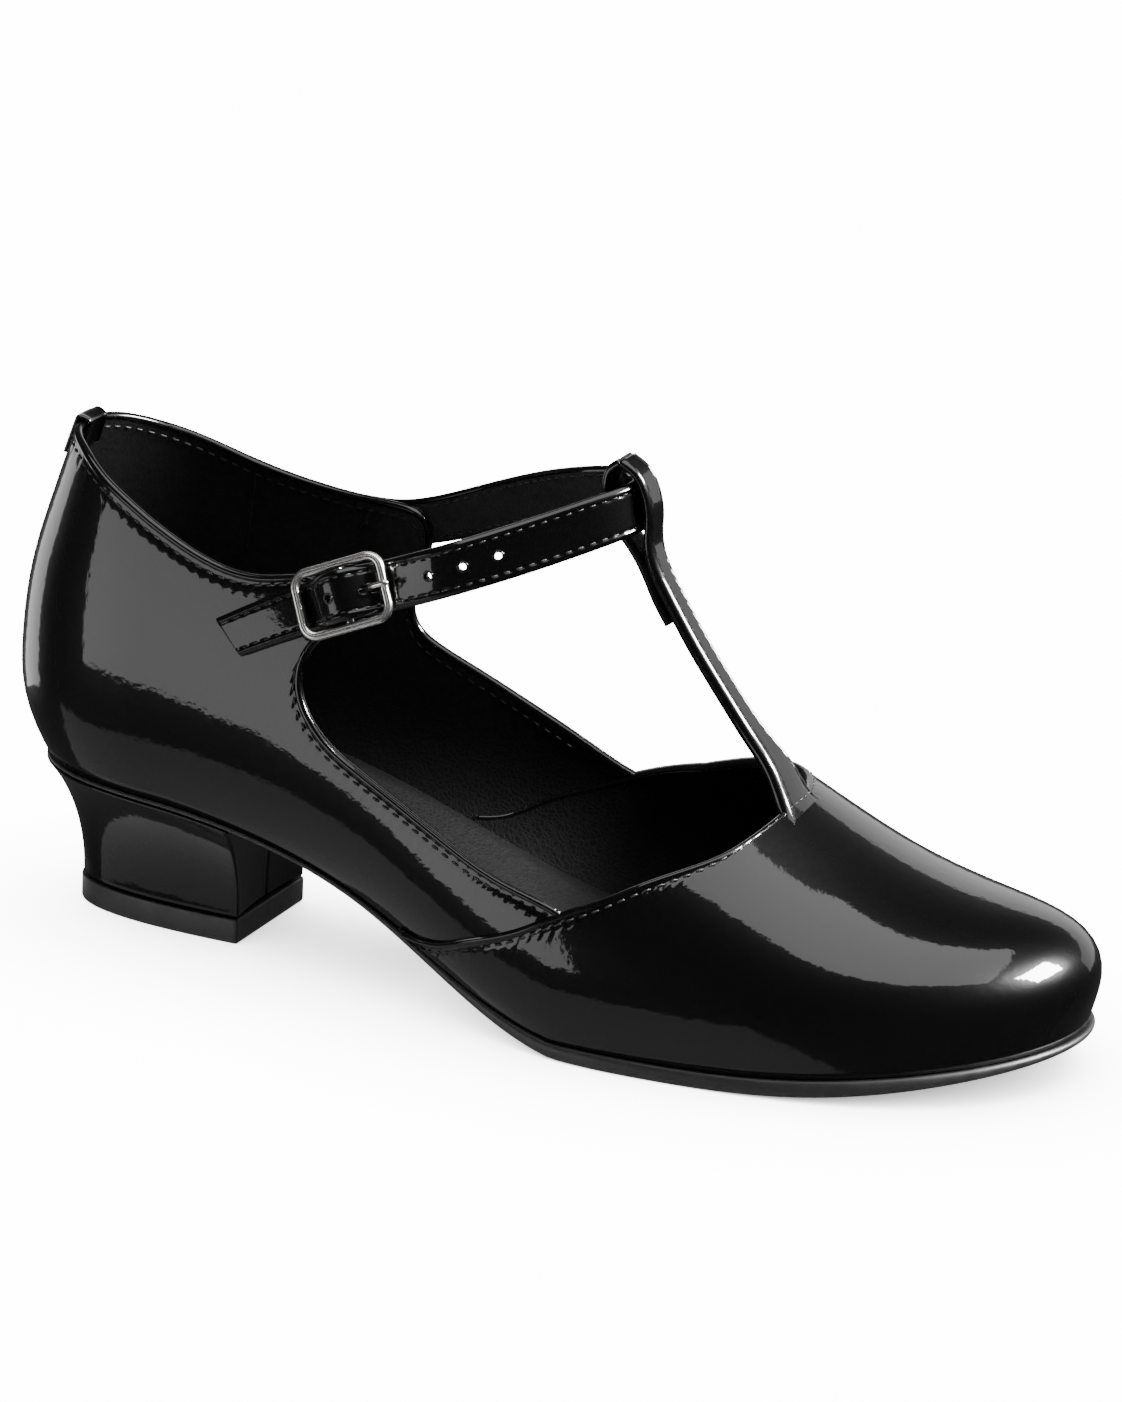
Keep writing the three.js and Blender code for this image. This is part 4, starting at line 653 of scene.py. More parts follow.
class SHOE_OT_upper(Operator):
    """Builds the quarters and the vamp, their folded edges, lining seams and stitching"""
    bl_idname = "shoe.upper"
    bl_label = "Upper"

    def execute(self, context):
        quarter = quarter_base()
        down, along = rim_distance(quarter)
        outer = off_last(retract(quarter, BEAD), QUARTER_WALL + pucker(down, along))
        inner = off_last(retract(quarter, BEAD), 0.6 * pucker(down, along, EDGE_TO_STITCH + 0.4))
        loop = np.concatenate([outer, inner[:, ::-1]], 1)
        rows = outer.shape[1]
        faces = np.arange(loop.shape[1])
        mark = np.where((faces >= rows - 1) & (faces < 2 * rows - 1), 1, 0)
        marks = np.tile(mark, len(loop) - 1)
        build("quarters", [(loop, False, True, marks)], ("patent_leather", "lining_leather"), ["upper"])
        path, normal, across = edge_bead(quarter, QUARTER_WALL / 2, QUARTER_WALL / 2 + 0.25)
        beads = [(tube_grid(path, normal, across, BEAD), False, True, 0)]
        lateral, medial = vamp_base()
        wall = QUARTER_WALL + VAMP_LAP
        grids, edges, stitches = [], [], []
        for half in (lateral, medial):
            down, along = rim_distance(half)
            down[THROAT_COLUMNS + 1:] = 1000.0
            cut = half.copy()
            throat = cut[1:THROAT_COLUMNS]
            throat[:, -1] -= edge_frame(half)[1:THROAT_COLUMNS] * BEAD
            cut[1:THROAT_COLUMNS] = throat
            outer = off_last(cut, wall + pucker(down, along))
            inner = off_last(cut, np.full(cut.shape[:2], -LINING_LAP))
            rim = np.stack([outer[:THROAT_COLUMNS + 1, -1], inner[:THROAT_COLUMNS + 1, -1]], 1)
            foot = np.stack([outer[:, 0], inner[:, 0]], 1)
            grids += [(outer, False, False, 0), (inner, False, False, 1)]
            grids += [(rim, False, False, 0), (foot, False, False, 1)]
            edges.append(half[:THROAT_COLUMNS + 1])
            keep = np.arange(10, THROAT_COLUMNS - 14)
            stitches += stitch_grids(*row_on(half[:THROAT_COLUMNS + 1], wall, EDGE_TO_STITCH, keep))
        build("vamp", grids, ("patent_leather", "lining_leather"), ["upper"])
        for half in edges:
            path, normal, across = edge_bead(half[2:], (wall - LINING_LAP) / 2, (wall + LINING_LAP) / 2 + 0.22)
            beads.append((tube_grid(path, normal, across, BEAD), False, True, 0))
        build("folded_edges", beads, ("patent_leather",), ["upper"])
        middle = QUARTER_COLUMNS
        keep = np.concatenate([np.arange(30, middle - 8)])
        stitches += stitch_grids(*row_on(quarter, QUARTER_WALL, EDGE_TO_STITCH, keep))
        stitches += stitch_grids(*row_on(quarter, QUARTER_WALL, EDGE_TO_STITCH, keep[::-1] * -1 + 2 * middle))
        inside, facing = row_on(quarter, 0.0, EDGE_TO_STITCH + 0.4, np.arange(40, 2 * middle - 40))
        stitches += stitch_grids(inside, -facing)
        build("upper_stitches", stitches, ("waxed_thread",), ["upper"])
        seams = []
        for share, low in ((0.115, 0.35), (0.2, 0.72)):
            column = middle + int(share * 2 * QUARTER_COLUMNS)
            line = quarter[column, int(low * QUARTER_ROWS):-3]
            seams.append((tube_grid(line, normals_at(line), 0.18, 0.55, 8), False, True, 0))
        line = quarter[middle, 3:-4]
        seams.append((tube_grid(line, normals_at(line), 0.2, 0.7, 8), False, True, 0))
        build("lining_seams", seams, ("lining_leather",), ["upper"])
        return {"FINISHED"}


# Bottom
BOTTOM_STEPS = 150


def bottom_stations(count=BOTTOM_STEPS):
    """Stations closer together round the heel and the toe."""
    heel = np.linspace(0, HEEL_FAN, count // 4 + 1)
    waist = np.linspace(HEEL_FAN, TOE_FAN, count // 2 + 1)[1:]
    toe = np.linspace(TOE_FAN, LAST_LENGTH, count // 4 + 1)[1:]
    return np.concatenate([heel, waist, toe])


def sole_edge(along, side):
    return feather_point(along, side, SOLE_EDGE * SOLE(along / LAST_LENGTH)["edge"])


def sole_underside(x):
    return np.maximum(0, seat(x) - SOLE_THICKNESS * SOLE(x / LAST_LENGTH)["thickness"])


def slab(name, edge, top_at, under_at, rounding, material, node, cup=0.0):
    """Flat piece with a rounded edge: outline rings moved in by a profile, joined across the foot."""
    along = bottom_stations()
    lateral, medial = edge(along, -1), edge(along, 1)
    ring = np.concatenate([lateral, medial[::-1][1:-1]])
    count = len(lateral)
    tangent = unit((np.roll(ring, -1, 0) - np.roll(ring, 1, 0)) * (1, 1, 0))
    inward = np.cross(tangent, (0.0, 0.0, 1.0)) * -1
    centre = np.array([LAST_LENGTH / 2, 0, 0])
    if np.sum(inward * (centre - ring)) < 0:
        inward = -inward
    turn = np.linspace(-90, 90, 9)
    inset = np.concatenate([rounding * (1 - np.cos(np.radians(turn)))])
    share = (np.sin(np.radians(turn)) + 1) / 2
    grid = []
    for move, level in zip(inset, share):
        p = ring + inward * move
        z = under_at(p[:, 0]) + (top_at(p[:, 0]) - under_at(p[:, 0])) * level
        grid.append(np.concatenate([p[:, :2], z[:, None]], 1))
    wall = np.stack(grid, 1)
    across = np.linspace(0, 1, 15)[None, :, None]
    partner = np.concatenate([[0], np.arange(len(ring) - 1, count - 1, -1), [count - 1]])
    faces = []
    for level, height in ((-1, top_at), (0, under_at)):
        first, second = wall[:count, level], wall[partner, level]
        sheet = first[:, None] * (1 - across) + second[:, None] * across
        sheet[..., 2] = height(sheet[..., 0])
        if level == -1:
            sheet[..., 2] += cup * (2 * across[..., 0] - 1) ** 4
            wall[:count, level, 2] += cup
            wall[count:, level, 2] += cup
            sheet[:, 0], sheet[:, -1] = wall[:count, level], wall[partner, level]
        faces.append((sheet, False, False, 0))
    return build(name, [(wall, True, False, 0), *faces], (material,), [node], weld=0.01)


def spread(points, count):
    """Points spread evenly along a polyline."""
    at = np.concatenate([[0], np.cumsum(np.linalg.norm(np.diff(points, axis=0), axis=-1))])
    where = np.linspace(0, at[-1], count)
    return np.stack([np.interp(where, at, points[:, i]) for i in range(points.shape[1])], -1)


def lift_outline(lip, count):
    """Half superellipse open to the front: the lift's D seen from above."""
    turn = np.linspace(-0.5, 0.5, 400) * np.pi
    power = 2 / LIFT_SQUARENESS
    x = LIFT_BACK + LIFT_LENGTH - (LIFT_LENGTH + lip) * np.abs(np.cos(turn)) ** power
    y = np.sign(turn) * (LIFT_WIDTH / 2 + lip) * np.abs(np.sin(turn)) ** power
    return spread(np.stack([x, y], -1), count)


def close_breast(ring, hollow, count=120, seam=0.0):
    """D-shaped ring closed by a hollow front edge, with a shallow seam down its middle."""
    share = np.linspace(0, 1, count + 2)[1:-1][:, None]
    front = ring[-1] * (1 - share) + ring[0] * share
    front[:, :1] -= hollow * 4 * share * (1 - share)
    whole = np.concatenate([ring, front])
    for _ in range(2):
        whole = (np.roll(whole, 1, 0) + 2 * whole + np.roll(whole, -1, 0)) / 4
    whole[len(ring):, :1] -= seam * np.exp(-((share - 0.5) / 0.012) ** 2)
    return whole


class SHOE_OT_bottom(Operator):
    """Builds the outsole, the insole, the covered heel and its lift"""
    bl_idname = "shoe.bottom"
    bl_label = "Bottom"

    def execute(self, context):
        slab("outsole_fine", sole_edge, seat, sole_underside, 0.9, "satin_rubber", "outsole")
        inset = -(LINING_LAP + INSOLE_CLEARANCE)
        edge = lambda along, side: feather_point(along, side, np.full(along.shape, inset))
        slab("insole_sock", edge, lambda x: seat(x) + GAP + INSOLE_THICKNESS, lambda x: seat(x) + GAP,
             0.8, "sock_leather", "insole", cup=0.25)
        breast = BREAST_STATION * LAST_LENGTH
        stops = breast * (1 - np.linspace(0, 1, 90))
        outline = np.concatenate([sole_edge(stops, -1), sole_edge(stops, 1)[::-1][1:]])[:, :2]
        count = 220
        top, bottom = spread(outline, count), lift_outline(0.0, count)
        rings = []
        for share in np.concatenate([[0.0], np.linspace(0, 1, 46)]):
            ease = 1 - (1 - share) ** HEEL_TAPER
            ring = close_breast(top * (1 - ease) + bottom * ease, BREAST_HOLLOW, seam=0.45)
            start = close_breast(top, BREAST_HOLLOW)
            level = sole_underside(start[:, 0]) - GAP
            rings.append(np.concatenate([ring, (level * (1 - share) + LIFT_HEIGHT * share)[:, None]], 1))
        for k, inset in ((0, 0.5), (-1, 0.25)):
            middle = rings[k][:, :2].mean(0)
            rings[k][:, :2] = middle + (rings[k][:, :2] - middle) * (1 - inset / 20)
        body = np.stack(rings)
        build("heel_covered", [(cap_rings(body), False, True, 0)], ("patent_leather",), ["heel"])
        outline = close_breast(lift_outline(LIFT_LIP, count), 0.0)
        rings = []
        for inset, z in ((0.5, 0.0), (0.12, 0.12), (0.0, 0.5), (0.0, LIFT_HEIGHT - GAP - 0.4),
                         (0.1, LIFT_HEIGHT - GAP - 0.1), (0.4, LIFT_HEIGHT - GAP)):
            middle = outline.mean(0)
            ring = middle + (outline - middle) * (1 - inset / 20)
            rings.append(np.concatenate([ring, np.full((len(ring), 1), z)], 1))
        build("heel_lift_fine", [(cap_rings(np.stack(rings)), False, True, 0)], ("satin_rubber",), ["heel_lift"])
        return {"FINISHED"}


def cap_rings(rings):
    """Rings closed at both ends: each end shrinks to its middle in three steps."""
    def cap(ring):
        middle = ring.mean(0)
        return [middle + (ring - middle) * share for share in (0.0, 0.4, 0.8)]
    return np.stack([*cap(rings[0]), *rings, *reversed(cap(rings[-1]))])


# Straps
def ribbon(points, normals):
    """Smooth ribbon through points: value takes distances, gives point, tangent and outer normal."""
    at = np.concatenate([[0], np.cumsum(np.linalg.norm(np.diff(points, axis=0), axis=-1))])
    curve = spline(at, np.concatenate([points, normals], 1))

    def value(distance):
        row = curve(distance)
        tangent = unit(curve(distance + 0.05)[..., :3] - curve(distance - 0.05)[..., :3])
        normal = row[..., 3:] - tangent * np.sum(row[..., 3:] * tangent, -1, keepdims=True)
        return row[..., :3], tangent, unit(normal)
    return value, at


def strap_on_last(along, height, side):
    p = at_height(np.asarray(along) * LAST_LENGTH, np.asarray(height) * COLLAR_HEIGHT, side)
    normal = normals_at(p)
    return p + normal * STRAP_OFF_LAST, normal


STRAP_OFF_LAST = QUARTER_WALL + GAP + STRAP_THICKNESS / 2
LATERAL_STOPS = 13
BAR_OUT = QUARTER_WALL + GAP + KEEPER_THICKNESS + GAP + CENTRE_BAR / 2
FRAME_OUT = STRAP_OFF_LAST + STRAP_THICKNESS / 2 + GAP + BUCKLE_BAR / 2
FRAME_HALF_LENGTH = (BUCKLE_LENGTH - BUCKLE_BAR) / 2
FRAME_HALF_WIDTH = STRAP_WIDTH / 2 + BUCKLE_SIDE_PLAY + BUCKLE_BAR / 2
PRONG_OUT = FRAME_OUT + BUCKLE_BAR / 2 + GAP + PRONG_DIAMETER / 2
STRAP_LIFT = BAR_OUT + CENTRE_BAR / 2 + GAP + KEEPER_THICKNESS + GAP + STRAP_THICKNESS / 2 - STRAP_OFF_LAST


def ankle_line():
    """Ankle strap's middle line: along the quarter, free over the instep, back on the inner quarter."""
    share = np.linspace(0, 1, LATERAL_STOPS + 1)
    run = [STRAP_TAIL[i] + (STRAP_LEAVES[i] - STRAP_TAIL[i]) * share for i in (0, 1)]
    lateral = strap_on_last(*run, -1)
    turn, lean = np.radians(STRAP_FREE["turn"]), math.radians(STRAP_LEAN)
    level = seat(np.zeros(1)) + STRAP_FREE["level"] * COLLAR_HEIGHT
    free = np.stack([STRAP_FREE["forward"] * LAST_LENGTH, STRAP_FREE["across"] * BALL_BREADTH, level], -1)
    facing = np.stack([np.cos(turn) * math.cos(lean), np.sin(turn) * math.cos(lean),
                       np.full(len(turn), math.sin(lean))], -1)
    end = strap_on_last(STRAP_END["along"], STRAP_END["height"], 1)
    points = np.concatenate([lateral[0], free, end[0]])
    return ribbon(points, np.concatenate([lateral[1], facing, end[1]]))


def buckle_frame_axes(line, at):
    """Base point and the three directions of the buckle: along, across and out of the strap."""
    place = at[LATERAL_STOPS] * BUCKLE_PLACE
    point, tangent, normal = line(np.array([place]))
    point, tangent, normal = point[0], tangent[0], normal[0]
    return place, point - normal * STRAP_OFF_LAST, tangent, np.cross(normal, tangent), normal


def lifted(line, place, distance):
    """Ankle strap's middle line, raised over the centre bar by half a cosine wave."""
    point, tangent, normal = line(distance)
    turn = np.clip((distance - place) / FRAME_HALF_LENGTH, -1, 1) * np.pi
    lift = (STRAP_LIFT * (1 + np.cos(turn)) / 2)[:, None]
    climb = (-STRAP_LIFT * np.pi * np.sin(turn) / (2 * FRAME_HALF_LENGTH))[:, None]
    return point + normal * lift, unit(tangent + normal * climb), unit(normal - tangent * climb)


def strap_loop(half, top, groove_at, groove, edge_roll=0.15):
    """Section of a strap: flat faces, half-round edges, a rolled rim and a stitch groove inside it."""
    face = np.linspace(-(half - top), half - top, 41)
    rise = top + edge_roll * np.exp(-((half - np.abs(face) - top) / 0.5) ** 2)
    rise = rise - groove * np.exp(-((half - np.abs(face) - groove_at) / 0.32) ** 2)
    turn = np.radians(np.linspace(90, -90, 11))[1:-1]
    right = np.stack([half - top + top * np.cos(turn), top * np.sin(turn)], -1)
    under = np.stack([face[::-1][::4], np.full(11, -top)], -1)
    left = np.stack([-(half - top) - top * np.cos(turn), -top * np.sin(turn)], -1)
    return np.concatenate([np.stack([face, rise], -1), right, under, left])


def strap_grid(point, tangent, normal, width, thickness, groove, pitch, bow=0.0, slant=None):
    """Strap's surface: a section whose stitch grooves deepen at every stitch, carried on its line."""
    across = np.cross(normal, tangent)
    sections = []
    distance = np.concatenate([[0], np.cumsum(np.linalg.norm(np.diff(point, axis=0), axis=-1))])
    half, top = width / 2, thickness / 2
    base = strap_loop(STRAP_WIDTH / 2, 1.0, STRAP_EDGE_TO_STITCH, 0.0, 0.0)
    rolled = strap_loop(STRAP_WIDTH / 2, 1.0, STRAP_EDGE_TO_STITCH, 0.0) - base
    dented = base - strap_loop(STRAP_WIDTH / 2, 1.0, STRAP_EDGE_TO_STITCH, 1.0, 0.0)
    wave = groove * (0.6 + 0.4 * np.cos(2 * np.pi * distance / pitch))
    side = base[:, 0] / (STRAP_WIDTH / 2)
    core = np.sign(base[:, 0]) * np.minimum(np.abs(base[:, 0]), STRAP_WIDTH / 2 - 1.0)
    b = core[None] * ((half - top) / (STRAP_WIDTH / 2 - 1.0))[:, None] + (base[:, 0] - core)[None] * top[:, None]
    n = base[:, 1][None] * top[:, None] + rolled[:, 1][None] - dented[:, 1][None] * wave[:, None]
    n = n - np.broadcast_to(bow, (len(point),))[:, None] * side[None] ** 2
    grid = point[:, None] + across[:, None] * b[..., None] + normal[:, None] * n[..., None]
    if slant is not None:
        grid = grid - tangent[:, None] * (slant[:, None] * b)[..., None]
    return grid


STRAP_TOP_POINTS = 50


def strap_marks(grid):
    """Patent on the face and edges, lining on the back."""
    mark = np.where((np.arange(grid.shape[1]) >= STRAP_TOP_POINTS) & (np.arange(grid.shape[1]) < 60), 1, 0)
    return np.tile(mark, len(grid) - 1)


def hug(grid, point, tangent, normal, weight):
    """Bends strap sections to the last's own roundness: each section sinks by the last's fall beside its middle."""
    across = np.cross(normal, tangent)
    beside = np.einsum("ijk,ik->ij", grid - point[:, None], across)
    spots = point[:, None] + across[:, None] * beside[..., None]

    def depth(start):
        low, high = np.full(start.shape[:-1], -16.0), np.full(start.shape[:-1], 6.0)
        for _ in range(26):
            middle = (low + high) / 2
            inside = field(start + normal[:, None] * middle[..., None]) < 0
            low, high = np.where(inside, middle, low), np.where(inside, high, middle)
        return low

    fall = depth(spots) - depth(point[:, None])
    return grid + normal[:, None] * (fall * weight[:, None])[..., None]


def close_ends(grid):
    """Strap grid with both ends shrunk to their middle line."""
    def end(section):
        middle = section.mean(0)
        return [middle + (section - middle) * share for share in (0.0, 0.5, 0.92)]
    return np.stack([*end(grid[0]), *grid, *reversed(end(grid[-1]))])


def t_strap_rows(line, at):
    """Rows of the T-strap: base on the vamp, rise to the ankle strap, loop round it, fold behind."""
    peak = cast(np.array([VAMP_EDGE[-1]["along"][-1] * LAST_LENGTH]), 90.0, 1)[0]
    apex = line(np.array([at[LATERAL_STOPS + 1 + STRAP_APEX_ROW]]))[0][0]
    p = cast(T_STRAP_BASE["along"] * LAST_LENGTH, 90.0, 1)
    thick = T_STRAP_BASE["thickness"] * T_STRAP_THICKNESS
    base = p + normals_at(p) * (QUARTER_WALL + VAMP_LAP + T_STRAP_BASE["top"] - thick / 2)[:, None]
    share = np.stack([T_STRAP_RISE["run"], T_STRAP_RISE["run"], T_STRAP_RISE["rise"]], -1)
    rise = peak + (apex - peak) * share
    loop = apex + np.stack([T_STRAP_LOOP["forward"], 0 * T_STRAP_LOOP["up"], T_STRAP_LOOP["up"]], -1) * STRAP_WIDTH
    size = lambda rows: np.stack([rows["width"] * T_STRAP_WIDTH, rows["thickness"] * T_STRAP_THICKNESS,
                                  rows.get("bow", 0 * rows["width"]) * T_STRAP_THICKNESS], -1)
    join = lambda points, rows: np.concatenate([points, size(rows)], 1)
    return join(base, T_STRAP_BASE), join(rise, T_STRAP_RISE), join(loop, T_STRAP_LOOP)


def t_strap_run(rows, pitch=0.4):
    """Points, tangents, outer normals and sizes along rows of the T-strap."""
    at = np.concatenate([[0], np.cumsum(np.linalg.norm(np.diff(rows[:, :3], axis=0), axis=-1))])
    curve = spline(at, rows)
    distance = np.linspace(0, at[-1], int(at[-1] / pitch))
    row = curve(distance)
    tangent = unit(curve(distance + 0.05)[:, :3] - curve(distance - 0.05)[:, :3])
    normal = unit(np.stack([tangent[:, 2], 0 * distance, -tangent[:, 0]], -1))
    return row[:, :3], tangent, normal, row[:, 3], row[:, 4], row[:, 5]


def edge_rows(point, tangent, normal, width, thickness, bow, edge, lift=0.0):
    """Two lines on a strap's face at a distance in from its edges, with the face's direction."""
    across = np.cross(normal, tangent)
    lines = []
    for side in (-1, 1):
        b = side * (width / 2 - edge)
        drop = bow * (b / (width / 2)) ** 2
        lines.append((point + across * b[:, None] + normal * (thickness / 2 - drop + lift)[:, None], normal))
    return lines


class SHOE_OT_straps(Operator):
    """Builds the ankle strap with its punched holes, the T-strap with its sewn loop, and their stitches"""
    bl_idname = "shoe.straps"
    bl_label = "Straps"

    def execute(self, context):
        line, at = ankle_line()
        place, *_ = buckle_frame_axes(line, at)
        distance = np.linspace(0, at[-1], int(at[-1] / 0.4))
        point, tangent, normal = lifted(line, place, distance)
        taper = STRAP_TAIL_TAPER * np.maximum(0, 1 - distance / place)
        width = STRAP_WIDTH * (1 - taper)
        thickness = np.full(len(distance), STRAP_THICKNESS)
        slant = STRAP_TAIL_SLANT * np.clip(1 - distance / 2.0, 0, 1)
        grid = strap_grid(point, tangent, normal, width, thickness, 0.26, STRAP_STITCH_PITCH, slant=slant)
        marks = np.concatenate([np.zeros(60, int) + 1] * 0 + [strap_marks(close_ends(grid))])
        strap = build("ankle_strap_fine", [(close_ends(grid), False, True, marks)],
                      ("patent_leather", "lining_leather"), ["ankle_strap"])
        holes = [place + PRONG_HOLE + HOLE_PITCH * k for k in HOLES]
        middle, _, facing = lifted(line, place, np.array(holes))
        prong = place + PRONG_HOLE + np.array([-1.1, 1.3])
        slot, _, slot_facing = lifted(line, place, prong)
        self.punch(strap, [*zip(middle, facing)], [*zip(slot, slot_facing)])
        rims = []
        turn = np.linspace(0, 2 * np.pi, 24, endpoint=False)
        for p, n in zip(middle, facing):
            u = unit(np.cross(n, (0.0, 0.0, 1.0)))
            v = np.cross(n, u)
            ring = p + n * (STRAP_THICKNESS / 2) + (HOLE_DIAMETER / 2 + 0.12) * (
                np.cos(turn)[:, None] * u + np.sin(turn)[:, None] * v)
            grid = tube_grid(np.concatenate([ring[-1:], ring, ring[:1]]), np.tile(n, (26, 1)), 0.16, 0.26, 8, False)
            rims.append((grid[1:-1], True, True, 0))
        build("hole_rims", rims, ("patent_leather",), ["ankle_strap"])
        stitches = []
        free = (distance < place - 4.0) | (distance > place + FRAME_HALF_LENGTH + 1.5)
        for path, face in edge_rows(point, tangent, normal, width, thickness, 0.0, STRAP_EDGE_TO_STITCH, -0.2):
            start = (distance > 2.0) & (distance < place + 6.0)
            rest = distance > place + FRAME_HALF_LENGTH + 1.0
            for part in (start, rest):
                stitches += stitch_grids(path[part], face[part], STRAP_STITCH_PITCH, 1.7, 0.2)
        for path, face in edge_rows(point, tangent, -normal, width, thickness, 0.0, STRAP_EDGE_TO_STITCH):
            rest = distance > place + FRAME_HALF_LENGTH + 1.0
            stitches += stitch_grids(path[rest], face[rest], STRAP_STITCH_PITCH, 1.7, 0.2)
        build("ankle_strap_stitches", stitches, ("waxed_thread",), ["ankle_strap"])
        self.t_strap(line, at)
        return {"FINISHED"}

    def punch(self, strap, holes, slots):
        """Cuts round holes, and the hole that the prong fills, out of the strap."""
        turn = np.linspace(0, 2 * np.pi, 28, endpoint=False)
        grids = []
        for p, n in holes:
            u = unit(np.cross(n, (0.0, 0.0, 1.0)))
            v = np.cross(n, u)
            ring = HOLE_DIAMETER / 2 * (np.cos(turn)[:, None] * u + np.sin(turn)[:, None] * v)
            body = np.stack([p + ring - n * 3, p + ring + n * 3])
            grids.append((cap_rings(body), False, True, 0))
        (p, n), (q, _) = slots
        way = unit(q - p)
        v = np.cross(n, way)
        oval = 0.95 * (np.cos(turn)[:, None] * way + np.sin(turn)[:, None] * v)
        oval = oval + np.where(np.cos(turn) > 0, 1.0, 0.0)[:, None] * (q - p)
        body = np.stack([p + oval - n * 4, p + oval + n * 4])
        grids.append((cap_rings(body), False, True, 0))
        cutter = build("hole_punch", grids, ("patent_leather",))
        cut = strap.modifiers.new("holes", "BOOLEAN")
        cut.operation = "DIFFERENCE"
        cut.solver = "EXACT"
        cut.object = cutter
        bpy.context.view_layer.objects.active = strap
        bpy.ops.object.modifier_apply(modifier=cut.name)
        bpy.data.objects.remove(cutter, do_unlink=True)
        if not len(strap.data.polygons):
            raise RuntimeError("the ankle strap lost its faces when its holes were cut")

    def t_strap(self, line, at):
        """T-strap's front and its sewn fold, with beaded edges and stitches."""
        base, rise, loop = t_strap_rows(line, at)
        front = np.concatenate([base, rise, loop[:T_STRAP_LOOP_TOP_ROW + 1]])
        rise_at = np.concatenate([[0], np.cumsum(np.linalg.norm(np.diff(rise[:, :3], axis=0), axis=-1))])
        curve = spline(rise_at / rise_at[-1], rise)
        here, ahead = curve(T_STRAP_FOLD["share"]), curve(T_STRAP_FOLD["share"] + 0.01)
        way = unit((ahead - here)[:, :3] * (1, 0, 1))
        thick = T_STRAP_FOLD["thickness"] * T_STRAP_THICKNESS
        back = ((here[:, 4] + thick) / 2 - FOLD_GRIP)[:, None]
        spot = here[:, :3] + np.stack([-way[:, 2], 0 * thick, way[:, 0]], -1) * back
        fold = np.concatenate([spot, np.stack([np.full(3, T_STRAP_WIDTH), thick, 0 * thick], -1)], 1)
        behind = np.concatenate([loop[T_STRAP_LOOP_TOP_ROW:], fold])
        grids, stitches, beads = [], [], []
        for rows, is_front in ((front, True), (behind, False)):
            run = t_strap_run(rows)
            grid = strap_grid(*run[:5], 0.12, STRAP_STITCH_PITCH, bow=run[5])
            if is_front:
                foot = np.clip(1 - (0.4 * np.arange(len(grid)) - 8.0) / 10.0, 0, 1)
                near = np.nonzero(foot)[0]
                grid[near] = hug(grid[near], *(item[near] for item in run[:3]), foot[near])
            grids.append((close_ends(grid), False, True, strap_marks(close_ends(grid))))
            keep = slice(int(16 / 0.4), -int(22 / 0.4)) if is_front else slice(int(12 / 0.4), -6)
            part = [item[keep] for item in run]
            for path, face in edge_rows(*part, STRAP_EDGE_TO_STITCH - 0.2, -0.15):
                stitches += stitch_grids(path, face, STRAP_STITCH_PITCH, 1.7, 0.2)
            if is_front:
                point, tangent, normal, width, thickness, bow = (item[int(6.0 / 0.4)] for item in run)
                across = np.cross(normal, tangent)
                b = np.linspace(-1, 1, 30)[:, None] * (width / 2 - 0.8)
                drop = bow * (b / (width / 2)) ** 2
                path = point + across * b + normal * (thickness / 2 - drop)
                path = hug(path[None], point[None], tangent[None], normal[None], np.ones(1))[0]
                stitches += stitch_grids(path, np.tile(normal, (30, 1)), 2.4, 1.6, 0.22)
        build("t_strap_fine", grids, ("patent_leather", "lining_leather"), ["t_strap"])
        build("t_strap_stitches", stitches, ("waxed_thread",), ["t_strap"])


